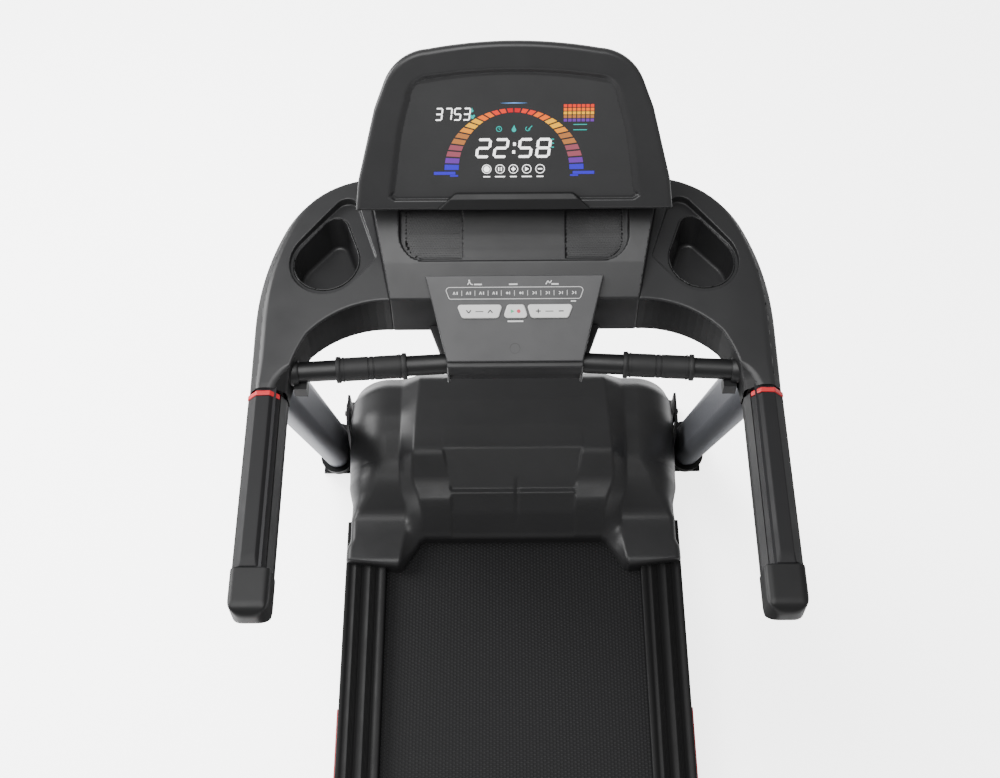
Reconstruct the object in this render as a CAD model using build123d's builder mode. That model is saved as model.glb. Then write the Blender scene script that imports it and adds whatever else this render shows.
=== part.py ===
"""Folding treadmill with a console on two leaning columns, millimetres.

X is to the user's right, Y is forward from the running deck to the console, +Z is up.
The origin is on the floor under the middle of the overall footprint.
"""

import os
from math import asin, atan2, cos, degrees, hypot, radians, sin, tan

from build123d import *

os.makedirs("parts", exist_ok=True)

# ---------------------------------------------------------------- driving dimensions

SIDES = {"left": -1, "right": 1}

# overall
LENGTH_HALF = 878.0        # rear end caps behind, transport wheels in front
FRONT_WHEEL_R = 26.0
TUBE_WALL = 2.5            # of the frame's square tubes

# deck
DECK_HALF = 340.0          # side rails' outer faces
BELT_HALF = 265.0
BELT_TOP = 155.0
BELT_T = 1.5
ROLLER_R = 22.5
BELT_GAP = 0.3             # between a roller and the belt that wraps it
ROLLER_Z = BELT_TOP - BELT_T - BELT_GAP - ROLLER_R
FRONT_ROLLER_Y = 560.0
REAR_ROLLER_Y = -820.0
ROLLER_HALF = 268.0
AXLE_R = 8.5
BOARD_T = 18.0
BOARD_HALF = 292.0
RAIL_FRONT_Y = 505.0
RAIL_REAR_Y = -790.0
MEMBER_IN, MEMBER_OUT = 298.0, 334.0
MEMBER_Z0, MEMBER_Z1 = 66.0, 126.0
MEMBER_FRONT_Y, MEMBER_REAR_Y = 775.0, -850.0
CROSS_YS = (620.0, 250.0, -80.0, -430.0, -745.0)
CROSS_DEPTH, CROSS_HEIGHT, CROSS_WALL = 30.0, 30.0, 2.0
LUG_LONG, LUG_HIGH, LUG_WIDE, LUG_Z = 34.0, 54.0, 11.0, 123.0    # blocks that hold the axles
CATCH_X, CATCH_T, CATCH_R = 9.0, 4.0, 4.0                        # strut's catch lugs and pin

# fold hinge of the deck, on the lifting cradle
HINGE_Y, HINGE_Z = 745.0, 100.0
PIN_R = 8.0
FIT = 0.08                 # radial clearance of every running fit

# rear wheels, which are also the pivot line of the incline
REAR_WHEEL_Y, REAR_WHEEL_R = -700.0, 30.0
REAR_AXLE_R, FORK_T, FORK_LONG = 5.0, 3.0, 26.0
WHEEL_ROUND = 3.0
LIFT_TRAVEL = 100.0

# base
BASE_Z0, BASE_Z1 = 8.0, 44.0
BASE_TUBE = 40.0
LEG_X = 270.0
LEG_REAR_Y = 240.0
PLATE_IN, PLATE_OUT = 345.5, 350.5     # pivot bracket plates
FOOT_PLATE_Z = 14.0
FOOT_PLATE_WIDE, FOOT_PLATE_LONG, FOOT_PLATE_Y = 68.0, 116.0, 765.0
PAD_R, PAD_BEVEL = 18.0, 1.5
PAD_INSET = 24.0           # from the end of a base leg to the middle of its pad
PAD_FRONT = (386.0, FOOT_PLATE_Y)
AXLE_STUB_R, AXLE_STUB_LONG = 6.0, 28.0
FRONT_WHEEL_X, FRONT_WHEEL_WIDE = 352.0, 22.0

# columns
COLUMN_FOOT = (385.0, 745.0, 60.0)
COLUMN_HEAD = (373.0, 385.0, 930.0)
COLUMN_LONG, COLUMN_WIDE, COLUMN_WALL = 92.0, 50.0, 2.5
COLUMN_OVERRUN, COLUMN_REACH = 90.0, 1120.0    # raw length before its ends are trimmed level
COLUMN_GAP = 0.4           # between a column and the mouldings around it
FOOT_CUP_RIM, FOOT_CUP_TOP = 11.0, 62.0

# handrail
ARM_X, ARM_WIDE = 377.0, 57.0
ARM_Z0, ARM_Z1, ARM_WALL = 943.0, 1003.0, 5.0
ARM_TUBE_WIDE, ARM_TUBE_HIGH, ARM_TUBE_WALL = 30.0, ARM_Z1 - ARM_Z0 - 2 * ARM_WALL, 2.0
ARM_TUBE_Y0, ARM_TUBE_Y1 = 0.0, 470.0
ARM_TIP_Y, ARM_CAP_Y = -38.0, 34.0
RING_Y0, RING_Y1 = 320.0, 330.0
SHOULDER_SPLIT_Z, SHOULDER_TOP = 990.0, 1038.0
SHOULDER_WALL = 4.0
CUP_WALL, CUP_FLOOR = 3.0, 4.0
BAR_R, BAR_WALL, BAR_Z = 16.0, 2.0, 970.0
BAR_END = (348.0, 373.0)
BAR_MID_Y = 394.0
GRIP_R = 18.5
GRIP_START, GRIP_END = 168.0, 277.0    # distances along the bar from its middle

# console
KEYPAD_Y, KEYPAD_Z, KEYPAD_TILT = 371.0, 1000.0, 28.7
DISPLAY_Y, DISPLAY_Z, DISPLAY_TILT = 560.0, 1150.0, 56.0
BEZEL_T, HEAD_T = 22.0, 45.0
BEZEL_FACE, BEZEL_WALL = 12.0, 4.0     # thickness round the window, and of its edge
WINDOW_CORNER, LENS_DEPTH, LENS_T = 22.0, 10.0, 4.0
CONSOLE_Z0 = ARM_Z0
CONSOLE_SPLIT_Y = 604.0
CONSOLE_REAR_Y = 708.0
CONSOLE_WALL = 4.0


def save(builder, name):
    """Name a finished piece and write its STEP file."""
    builder.part.label = name
    export_step(builder.part, f"parts/{name}.step")


def tilted(y, z, angle):
    """A plane through (0, y, z) that leans back by angle; its own Y runs up the slope."""
    a = radians(angle)
    return Plane(origin=(0, y, z), x_dir=(1, 0, 0), z_dir=(0, -sin(a), cos(a)))


def across(x):
    """The YZ plane at x, whose sketch coordinates are (y, z)."""
    return Plane.YZ.offset(x)


KEYPAD = tilted(KEYPAD_Y, KEYPAD_Z, KEYPAD_TILT)
DISPLAY = tilted(DISPLAY_Y, DISPLAY_Z, DISPLAY_TILT)


# ---------------------------------------------------------------- base

with BuildPart() as base_frame:
    with BuildSketch(across(-PLATE_IN)):
        with Locations((HINGE_Y, (BASE_Z0 + BASE_Z1) / 2)):
            Rectangle(BASE_TUBE, BASE_Z1 - BASE_Z0)
            Rectangle(BASE_TUBE - 2 * TUBE_WALL, BASE_Z1 - BASE_Z0 - 2 * TUBE_WALL,
                      mode=Mode.SUBTRACT)
    extrude(amount=2 * PLATE_IN)
    cross_back = HINGE_Y - BASE_TUBE / 2
    with BuildSketch(Plane.XZ.offset(-cross_back)):
        with Locations((-LEG_X, (BASE_Z0 + BASE_Z1) / 2), (LEG_X, (BASE_Z0 + BASE_Z1) / 2)):
            Rectangle(BASE_TUBE, BASE_Z1 - BASE_Z0)
            Rectangle(BASE_TUBE - 2 * TUBE_WALL, BASE_Z1 - BASE_Z0 - 2 * TUBE_WALL,
                      mode=Mode.SUBTRACT)
    extrude(amount=cross_back - LEG_REAR_Y)
save(base_frame, "base_frame")

PAD_POINTS = [(side * x, y) for side in SIDES.values()
              for x, y in ((LEG_X, LEG_REAR_Y + PAD_INSET), PAD_FRONT)]
with BuildPart() as base_pads:
    with BuildSketch():
        with Locations(*PAD_POINTS):
            Circle(PAD_R)
    extrude(amount=BASE_Z0)
    chamfer(base_pads.edges().filter_by(GeomType.CIRCLE).group_by(Axis.Z)[0], PAD_BEVEL)
save(base_pads, "base_pads")

# The column leans back towards the user and slightly inwards.
LEAN = [head - foot for head, foot in zip(COLUMN_HEAD, COLUMN_FOOT)]


def column_plane(side):
    """Square to the column's line, with the section's long side in the leaning plane."""
    direction = Vector(side * LEAN[0], LEAN[1], LEAN[2]).normalized()
    foot = Vector(side * COLUMN_FOOT[0], COLUMN_FOOT[1], COLUMN_FOOT[2])
    foot = foot - direction * COLUMN_OVERRUN
    long_side = Vector(0, direction.Z, -direction.Y).normalized()
    return Plane(origin=foot, x_dir=long_side, z_dir=direction)


def slab(z0, z1):
    """A wide block between two heights, to trim leaning pieces with."""
    with BuildPart() as block:
        with BuildSketch(Plane.XY.offset(z0)):
            with Locations((0, 500)):
                Rectangle(1400, 1400)
        extrude(amount=z1 - z0)
    return block.part


def column_solid(side, grow):
    """The column's outer form, grown by a margin, as a tool for the pieces around it."""
    with BuildPart() as form:
        with BuildSketch(column_plane(side)):
            SlotOverall(COLUMN_LONG + 2 * grow, COLUMN_WIDE + 2 * grow)
        extrude(amount=COLUMN_REACH)
    return form.part


COLUMN_TOOLS = {side: column_solid(side, COLUMN_GAP) for side in SIDES.values()}
COLUMN_TRIM = slab(FOOT_PLATE_Z, ARM_Z0 + ARM_WALL)

with BuildPart() as columns:
    for side in SIDES.values():
        with BuildSketch(column_plane(side)):
            SlotOverall(COLUMN_LONG, COLUMN_WIDE)
            SlotOverall(COLUMN_LONG - 2 * COLUMN_WALL, COLUMN_WIDE - 2 * COLUMN_WALL,
                        mode=Mode.SUBTRACT)
        extrude(amount=COLUMN_REACH)
    add(COLUMN_TRIM, mode=Mode.INTERSECT)
save(columns, "columns")

CUP_TRIM = slab(FOOT_PLATE_Z, FOOT_CUP_TOP)
with BuildPart() as foot_cups:
    for side in SIDES.values():
        with BuildSketch(column_plane(side)):
            SlotOverall(COLUMN_LONG + 2 * FOOT_CUP_RIM, COLUMN_WIDE + 2 * FOOT_CUP_RIM)
        extrude(amount=COLUMN_OVERRUN + 200)
    add(CUP_TRIM, mode=Mode.INTERSECT)
    for side in SIDES.values():
        add(COLUMN_TOOLS[side], mode=Mode.SUBTRACT)
    with BuildSketch():
        with Locations((0, HINGE_Y)):
            Rectangle(2 * PLATE_OUT, 300)
    extrude(amount=FOOT_CUP_TOP + 1, mode=Mode.SUBTRACT)
save(foot_cups, "foot_cups")

FRONT_WHEEL_Y = LENGTH_HALF - FRONT_WHEEL_R
# The hinge pins climb on an arc about the rear wheels' axles, so their slots lean back.
LIFT_RADIUS = hypot(HINGE_Y - REAR_WHEEL_Y, HINGE_Z - REAR_WHEEL_R)
LIFT_TOP = asin((HINGE_Z + LIFT_TRAVEL - REAR_WHEEL_R) / LIFT_RADIUS)
LIFT_SHIFT = HINGE_Y - REAR_WHEEL_Y - LIFT_RADIUS * cos(LIFT_TOP)
LIFT_LEAN = degrees(atan2(LIFT_SHIFT, LIFT_TRAVEL))
with BuildPart() as pivot_brackets:
    for side in SIDES.values():
        with BuildSketch(across(side * PLATE_IN)):
            with BuildLine():
                Polyline((706, BASE_Z0), (852, BASE_Z0), (866, 20), (866, 40), (800, 96),
                         (786, 218), (712, 218), (706, 120), close=True)
            make_face()
            with Locations((HINGE_Y - LIFT_SHIFT / 2, HINGE_Z + LIFT_TRAVEL / 2)):
                SlotOverall(LIFT_TRAVEL + 2 * PIN_R + 4, 2 * PIN_R + 4, rotation=90 + LIFT_LEAN,
                            mode=Mode.SUBTRACT)
        extrude(amount=side * (PLATE_OUT - PLATE_IN))
        with BuildSketch(across(side * PLATE_OUT)):
            with Locations((FRONT_WHEEL_Y, FRONT_WHEEL_R)):
                Circle(AXLE_STUB_R)
        extrude(amount=side * AXLE_STUB_LONG)
        with BuildSketch(Plane.XY.offset(BASE_Z0)):
            with Locations((side * (PLATE_OUT + FOOT_PLATE_WIDE / 2), FOOT_PLATE_Y)):
                Rectangle(FOOT_PLATE_WIDE, FOOT_PLATE_LONG)
        extrude(amount=FOOT_PLATE_Z - BASE_Z0)
save(pivot_brackets, "pivot_brackets")

for name, side in SIDES.items():
    with BuildPart() as front_wheel:
        with BuildSketch(across(side * FRONT_WHEEL_X)):
            with Locations((FRONT_WHEEL_Y, FRONT_WHEEL_R)):
                Circle(FRONT_WHEEL_R)
                Circle(AXLE_STUB_R + FIT, mode=Mode.SUBTRACT)
        extrude(amount=side * FRONT_WHEEL_WIDE)
        fillet(front_wheel.edges().filter_by(GeomType.CIRCLE).group_by(
            lambda edge: edge.radius)[-1], WHEEL_ROUND)
    save(front_wheel, f"front_wheel_{name}")


# ---------------------------------------------------------------- incline drive and cradle

SCREW_X, SCREW_R, SCREW_LONG = 150.0, 7.0, 175.0
LIFT_CAN_Y, LIFT_CAN_Z, LIFT_CAN_R = 692.0, 32.0, 23.0
GEARBOX_HIGH = 16.0
SCREW_Z = BASE_Z1 + 2
SCREW_FOOT_Y = HINGE_Y + (HINGE_Z - SCREW_Z) * tan(radians(LIFT_LEAN))
SCREW_LINE = tilted(SCREW_FOOT_Y, SCREW_Z, LIFT_LEAN)
with BuildPart() as lift_motor:
    with BuildSketch(across(SCREW_X - 55)):
        with Locations((LIFT_CAN_Y, LIFT_CAN_Z)):
            Circle(LIFT_CAN_R)
    extrude(amount=120)
    with BuildSketch(Plane.XY.offset(BASE_Z1)):
        with Locations((SCREW_X, 734)):
            Rectangle(50, 68)
    extrude(amount=GEARBOX_HIGH)
    with BuildSketch(SCREW_LINE):
        with Locations((SCREW_X, 0)):
            Circle(SCREW_R + FIT)
    extrude(amount=GEARBOX_HIGH + 4, mode=Mode.SUBTRACT)
    with BuildSketch(across(SCREW_X - 60)):
        with Locations((HINGE_Y, (BASE_Z0 + BASE_Z1) / 2)):
            Rectangle(BASE_TUBE, BASE_Z1 - BASE_Z0)
    extrude(amount=120, mode=Mode.SUBTRACT)
save(lift_motor, "lift_motor")

with BuildPart() as lift_screw:
    with BuildSketch(SCREW_LINE.offset(0.3)):
        with Locations((SCREW_X, 0)):
            Circle(SCREW_R)
    extrude(amount=SCREW_LONG)
    chamfer(lift_screw.faces().sort_by(Axis.Z)[-1].edges(), 1.5)
save(lift_screw, "lift_screw")

STRUT_Y, STRUT_Z = 640.0, 45.0         # strut's pivot on the cradle's arm
ROD_Y, ROD_Z = -80.0, 50.0             # strut's catch pin under the deck
STRUT_PIN_R = 5.0
CRADLE_HALF, CRADLE_R, CRADLE_BORE_R, CRADLE_PLUG = 292.0, 19.0, 15.0, 6.0
CRADLE_ARM_X, CRADLE_ARM_T = 9.0, 6.0  # two plates that carry the strut's pin
with BuildPart() as lift_cradle:
    with BuildSketch(across(-CRADLE_HALF)):
        with Locations((HINGE_Y, HINGE_Z)):
            Circle(CRADLE_R)
            Circle(CRADLE_BORE_R, mode=Mode.SUBTRACT)
    extrude(amount=2 * CRADLE_HALF)
    for side in SIDES.values():
        with BuildSketch(across(side * (CRADLE_HALF - CRADLE_PLUG))):
            with Locations((HINGE_Y, HINGE_Z)):
                Circle(CRADLE_BORE_R)
        extrude(amount=side * CRADLE_PLUG)
        with BuildSketch(across(side * CRADLE_HALF)):
            with Locations((HINGE_Y, HINGE_Z)):
                Circle(PIN_R)
        extrude(amount=side * (PLATE_OUT + 3.5 - CRADLE_HALF))
        with BuildSketch(across(side * CRADLE_ARM_X)):
            with BuildLine():
                Polyline((733, 92), (757, 92), (757, 50), (722, 50), (704, 33), (640, 33),
                         (629, 45), (640, 57), (722, 60), (733, 68), close=True)
            make_face()
        extrude(amount=side * CRADLE_ARM_T)
    with BuildSketch(across(-CRADLE_ARM_X - CRADLE_ARM_T)):
        with Locations((STRUT_Y, STRUT_Z)):
            Circle(STRUT_PIN_R)
    extrude(amount=2 * (CRADLE_ARM_X + CRADLE_ARM_T))
    with BuildSketch(Plane.XY.offset(HINGE_Z - 25)):
        with Locations((SCREW_X, HINGE_Y)):
            SlotOverall(2 * SCREW_R + 10, 2 * SCREW_R + 5, rotation=90)
    extrude(amount=50, mode=Mode.SUBTRACT)
save(lift_cradle, "lift_cradle")

STRUT_LENGTH = hypot(STRUT_Y - ROD_Y, ROD_Z - STRUT_Z)
STRUT_ANGLE = degrees(atan2(ROD_Z - STRUT_Z, STRUT_Y - ROD_Y))
TUBE_LENGTH, TUBE_R, ROD_R = 430.0, 11.0, 5.0
STRUT_EYE_R, STRUT_EYE_WIDE = 8.5, 16.0
TUBE_START, ROD_START = 18.0, 30.0     # distances from the cradle pivot


def strut_plane(distance):
    """Square to the strut's line at a distance from its cradle pivot."""
    a = radians(STRUT_ANGLE)
    origin = (0, STRUT_Y - distance * cos(a), STRUT_Z + distance * sin(a))
    return Plane(origin=origin, x_dir=(1, 0, 0), z_dir=(0, -cos(a), sin(a)))


with BuildPart() as strut_cylinder:
    with BuildSketch(strut_plane(0)):
        Rectangle(STRUT_EYE_WIDE, STRUT_EYE_WIDE)
    extrude(amount=TUBE_START + 2)
    with BuildSketch(across(-STRUT_EYE_WIDE / 2)):
        with Locations((STRUT_Y, STRUT_Z)):
            Circle(STRUT_EYE_R)
    extrude(amount=STRUT_EYE_WIDE)
    with BuildSketch(strut_plane(TUBE_START)):
        Circle(TUBE_R)
    extrude(amount=TUBE_LENGTH - TUBE_START)
    with BuildSketch(strut_plane(ROD_START - 6)):
        Circle(ROD_R + FIT)
    extrude(amount=TUBE_LENGTH, mode=Mode.SUBTRACT)
    with BuildSketch(across(-STRUT_EYE_WIDE / 2)):
        with Locations((STRUT_Y, STRUT_Z)):
            Circle(STRUT_PIN_R + FIT)
    extrude(amount=STRUT_EYE_WIDE, mode=Mode.SUBTRACT)
save(strut_cylinder, "strut_cylinder")

# The rod ends in an open hook under the deck's catch pin.
HOOK_WIDE = 15.0
HOOK = Plane(origin=(-HOOK_WIDE / 2, ROD_Y, ROD_Z), z_dir=(1, 0, 0),
             x_dir=(0, -cos(radians(STRUT_ANGLE)), sin(radians(STRUT_ANGLE))))
with BuildPart() as strut_rod:
    with BuildSketch(strut_plane(ROD_START)):
        Circle(ROD_R)
    extrude(amount=STRUT_LENGTH - ROD_START - 14)
    with BuildSketch(HOOK):
        with BuildLine():
            Polyline((-20, -5), (-20, 5), (-13, 5), (-9, -4.6), (4.6, -4.6), (4.6, 4),
                     (11, 4), (11, -12), (-9, -12), close=True)
        make_face()
        mirror(about=Plane.XZ, mode=Mode.REPLACE)
    extrude(amount=HOOK_WIDE)
save(strut_rod, "strut_rod")


# ---------------------------------------------------------------- deck

with BuildPart() as deck_side_members:
    for side in SIDES.values():
        middle = side * (MEMBER_IN + MEMBER_OUT) / 2
        with BuildSketch(Plane.XZ.offset(-MEMBER_FRONT_Y)):
            with Locations((middle, (MEMBER_Z0 + MEMBER_Z1) / 2)):
                Rectangle(MEMBER_OUT - MEMBER_IN, MEMBER_Z1 - MEMBER_Z0)
                Rectangle(MEMBER_OUT - MEMBER_IN - 2 * TUBE_WALL,
                          MEMBER_Z1 - MEMBER_Z0 - 2 * TUBE_WALL, mode=Mode.SUBTRACT)
        extrude(amount=MEMBER_FRONT_Y - MEMBER_REAR_Y)
        with BuildSketch(across(side * MEMBER_IN)):
            with Locations((HINGE_Y, HINGE_Z)):
                Circle(PIN_R + FIT)
        extrude(amount=side * 40, mode=Mode.SUBTRACT)
        for x in (MEMBER_IN, MEMBER_OUT - FORK_T):
            with BuildSketch(across(side * x)):
                with Locations((REAR_WHEEL_Y, MEMBER_Z0 - 22)):
                    Rectangle(FORK_LONG, 44)
            extrude(amount=side * FORK_T)
        with BuildSketch(across(side * MEMBER_IN)):
            with Locations((REAR_WHEEL_Y, REAR_WHEEL_R)):
                Circle(REAR_AXLE_R)
        extrude(amount=side * (MEMBER_OUT - MEMBER_IN))
        for y in (FRONT_ROLLER_Y, REAR_ROLLER_Y):
            with BuildSketch(across(side * (MEMBER_IN - LUG_WIDE))):
                with Locations((y, LUG_Z)):
                    Rectangle(LUG_LONG, LUG_HIGH)
                with Locations((y, ROLLER_Z)):
                    Circle(AXLE_R, mode=Mode.SUBTRACT)
            extrude(amount=side * LUG_WIDE)
save(deck_side_members, "deck_side_members")

with BuildPart() as deck_cross_members:
    for y in CROSS_YS:
        with BuildSketch(across(-MEMBER_IN)):
            with Locations((y, MEMBER_Z0 + CROSS_HEIGHT / 2)):
                Rectangle(CROSS_DEPTH, CROSS_HEIGHT)
                Rectangle(CROSS_DEPTH - 2 * CROSS_WALL, CROSS_HEIGHT - 2 * CROSS_WALL,
                          mode=Mode.SUBTRACT)
        extrude(amount=2 * MEMBER_IN)
    for side in SIDES.values():
        with BuildSketch(across(side * CATCH_X)):
            with Locations((ROD_Y, MEMBER_Z0 - 12)):
                Rectangle(24, 24)
        extrude(amount=side * CATCH_T)
    with BuildSketch(across(-CATCH_X - CATCH_T)):
        with Locations((ROD_Y, ROD_Z)):
            Circle(CATCH_R)
    extrude(amount=2 * (CATCH_X + CATCH_T))
save(deck_cross_members, "deck_cross_members")

for name, side in SIDES.items():
    with BuildPart() as rear_wheel:
        with BuildSketch(across(side * (MEMBER_IN + FORK_T + 1))):
            with Locations((REAR_WHEEL_Y, REAR_WHEEL_R)):
                Circle(REAR_WHEEL_R)
                Circle(REAR_AXLE_R + FIT, mode=Mode.SUBTRACT)
        extrude(amount=side * (MEMBER_OUT - MEMBER_IN - 2 * FORK_T - 2))
        fillet(rear_wheel.edges().filter_by(GeomType.CIRCLE).group_by(
            lambda edge: edge.radius)[-1], WHEEL_ROUND)
    save(rear_wheel, f"rear_wheel_{name}")

BOARD_Z1 = BELT_TOP - BELT_T - BELT_GAP
BOARD_Z0 = BOARD_Z1 - BOARD_T
BOARD_FRONT_Y, BOARD_REAR_Y = 500.0, -780.0
CUSHION_X, CUSHION_R = 281.0, 10.5
with BuildPart() as deck_board:
    with BuildSketch(Plane.XY.offset(BOARD_Z0)):
        with Locations((0, (BOARD_FRONT_Y + BOARD_REAR_Y) / 2)):
            Rectangle(2 * BOARD_HALF, BOARD_FRONT_Y - BOARD_REAR_Y)
    extrude(amount=BOARD_T)
    chamfer(deck_board.edges().filter_by(Axis.X).group_by(Axis.Z)[-1], 5)
save(deck_board, "deck_board")

with BuildPart() as deck_cushions:
    with BuildSketch(Plane.XY.offset(MEMBER_Z0 + CROSS_HEIGHT)):
        with Locations(*[(side * CUSHION_X, y) for side in SIDES.values() for y in CROSS_YS[1:]]):
            Circle(CUSHION_R)
    extrude(amount=BOARD_Z0 - MEMBER_Z0 - CROSS_HEIGHT)
save(deck_cushions, "deck_cushions")


def loop_band(ends, gap, thickness):
    """The side view of a belt that wraps round wheels given as (y, z, radius)."""
    for grow, mode in ((gap + thickness, Mode.ADD), (gap, Mode.SUBTRACT)):
        with BuildSketch(Plane.XY, mode=Mode.PRIVATE) as outline:
            for y, z, radius in ends:
                with Locations((y, z)):
                    Circle(radius + grow)
            make_hull()
        add(outline.sketch_local, mode=mode)


BELT_ENDS = [(FRONT_ROLLER_Y, ROLLER_Z, ROLLER_R), (REAR_ROLLER_Y, ROLLER_Z, ROLLER_R)]
with BuildPart() as running_belt:
    with BuildSketch(across(-BELT_HALF)):
        loop_band(BELT_ENDS, BELT_GAP, BELT_T)
    extrude(amount=2 * BELT_HALF)
save(running_belt, "running_belt")

PULLEY_X0, PULLEY_X1 = -285.0, -269.0
ROLLER_PULLEY_R, MOTOR_PULLEY_R = 43.0, 15.0
BEARING_R, BEARING_T = 20.0, 12.0


def roller_tube(y):
    """A roller's tube, bored out for the bearings at its ends."""
    with BuildPart() as tube:
        with BuildSketch(across(-ROLLER_HALF)):
            with Locations((y, ROLLER_Z)):
                Circle(ROLLER_R)
                Circle(BEARING_R + FIT, mode=Mode.SUBTRACT)
        extrude(amount=2 * ROLLER_HALF)
    return tube.part


FRONT_TUBE, REAR_TUBE = roller_tube(FRONT_ROLLER_Y), roller_tube(REAR_ROLLER_Y)
with BuildPart() as front_roller:
    add(FRONT_TUBE)
    with BuildSketch(across(PULLEY_X0)):
        with Locations((FRONT_ROLLER_Y, ROLLER_Z)):
            Circle(ROLLER_PULLEY_R)
            Circle(BEARING_R + FIT, mode=Mode.SUBTRACT)
    extrude(amount=PULLEY_X1 - PULLEY_X0)
    with BuildSketch(across(PULLEY_X1)):
        with Locations((FRONT_ROLLER_Y, ROLLER_Z)):
            Circle(ROLLER_R)
            Circle(BEARING_R + FIT, mode=Mode.SUBTRACT)
    extrude(amount=1)
save(front_roller, "front_roller")

with BuildPart() as rear_roller:
    add(REAR_TUBE)
save(rear_roller, "rear_roller")

with BuildPart() as roller_axles:
    for y in (FRONT_ROLLER_Y, REAR_ROLLER_Y):
        with BuildSketch(across(-MEMBER_IN)):
            with Locations((y, ROLLER_Z)):
                Circle(AXLE_R)
        extrude(amount=2 * MEMBER_IN)
save(roller_axles, "roller_axles")

with BuildPart() as roller_bearings:
    for y in (FRONT_ROLLER_Y, REAR_ROLLER_Y):
        for x in (-262.0, 250.0):
            with BuildSketch(across(x)):
                with Locations((y, ROLLER_Z)):
                    Circle(BEARING_R)
                    Circle(AXLE_R, mode=Mode.SUBTRACT)
            extrude(amount=BEARING_T)
save(roller_bearings, "roller_bearings")

for name, side in SIDES.items():
    with BuildPart() as side_rail:
        with BuildSketch(Plane.XZ.offset(-RAIL_FRONT_Y)) as rail_face:
            with BuildLine():
                Polyline((257, 157), (294, 157), (294, 126), (340, 126), (340, 170), (334, 176),
                         (263, 176), (257, 171), close=True)
            make_face()
            with BuildLine():
                Polyline((260, 160), (297, 160), (297, 129), (337, 129), (337, 169), (333, 173),
                         (264, 173), (260, 169.5), close=True)
            make_face(mode=Mode.SUBTRACT)
            if side < 0:
                mirror(about=Plane.YZ, mode=Mode.REPLACE)
        extrude(amount=RAIL_FRONT_Y - RAIL_REAR_Y)
    save(side_rail, f"side_rail_{name}")

TRIM_FRONT_Y, TRIM_REAR_Y, TRIM_Z = 117.0, -780.0, 138.0
TRIM_HIGH, TRIM_T, TRIM_CORNER = 24.0, 5.0, 6.0
with BuildPart() as side_trims:
    for side in SIDES.values():
        with BuildSketch(across(side * DECK_HALF)):
            with Locations(((TRIM_FRONT_Y + TRIM_REAR_Y) / 2, TRIM_Z)):
                RectangleRounded(TRIM_FRONT_Y - TRIM_REAR_Y, TRIM_HIGH, TRIM_CORNER)
        extrude(amount=side * TRIM_T)
save(side_trims, "side_trims")

END_CAP_IN, END_CAP_OUT = 269.0, 343.0
with BuildPart() as rear_end_caps:
    for side in SIDES.values():
        with BuildSketch(across(side * END_CAP_IN)):
            with BuildLine():
                Polyline((-LENGTH_HALF, 72), (-852, 72), (-852, 127), (-790.5, 127),
                         (-790.5, 176), (-852, 176), (-LENGTH_HALF, 150), close=True)
            make_face()
        extrude(amount=side * (END_CAP_OUT - END_CAP_IN))
        with BuildSketch(across(side * END_CAP_IN)):
            with Locations((REAR_ROLLER_Y, LUG_Z)):
                Rectangle(LUG_LONG + 0.4, LUG_HIGH + 0.4)
        extrude(amount=side * (MEMBER_IN - END_CAP_IN), mode=Mode.SUBTRACT)
    fillet(rear_end_caps.edges().filter_by(Axis.Z).group_by(Axis.Y)[0], 10)
save(rear_end_caps, "rear_end_caps")


# ---------------------------------------------------------------- motor bay

HOOD_HALF, HOOD_WALL, HOOD_Z0, HOOD_TOP = 341.0, 4.0, 112.0, 308.0
HOOD_CORNER = 96.0         # rounding of its shoulders, seen from the front
HOOD_SIDE = [(HINGE_Y - 238, HOOD_Z0), (HINGE_Y - 238, 180), (394, 180), (394, 190), (446, 206),
             (540, 264), (610, 298), (700, HOOD_TOP), (773, 300), (808, 262), (820, 200),
             (820, HOOD_Z0)]
HOOD_INSIDE = [(HINGE_Y - 234, HOOD_Z0 - 1), (HINGE_Y - 234, 184), (402, 184), (402, 188),
               (447, 202), (542, 260), (611, 294), (700, 304), (771, 296), (804, 260),
               (816, 200), (816, HOOD_Z0 - 1)]
INLET_X, INLET_Z = -200.0, 150.0
INLET_WIDE, INLET_HIGH, INLET_FRONT = 68.0, 36.0, 822.0
SWITCH_X, SWITCH_HALF_WIDE, SWITCH_HALF_HIGH = INLET_X + 20, 9.0, 11.0
SWITCH_TILT, SWITCH_PIN_R, SWITCH_AXIS_DEPTH = 7.0, 1.5, 4.0
SOCKET_X = INLET_X - 15    # three-blade mains socket
BEZEL_RIM, BEZEL_FLANGE = 3.0, 2.0


def hood_form(half, outline, top, corner):
    """The hood's side outline, rounded over its shoulders as seen from the front."""
    with BuildPart() as form:
        with BuildSketch(across(-half)):
            with BuildLine():
                Polyline(*outline, close=True)
            make_face()
        extrude(amount=2 * half)
        with BuildSketch(Plane.XZ.offset(-900)) as front_view:
            with Locations((0, top / 2)):
                Rectangle(2 * half, top)
            fillet(front_view.vertices().group_by(Axis.Y)[-1], corner)
        extrude(amount=600, mode=Mode.INTERSECT)
    return form.part


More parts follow.
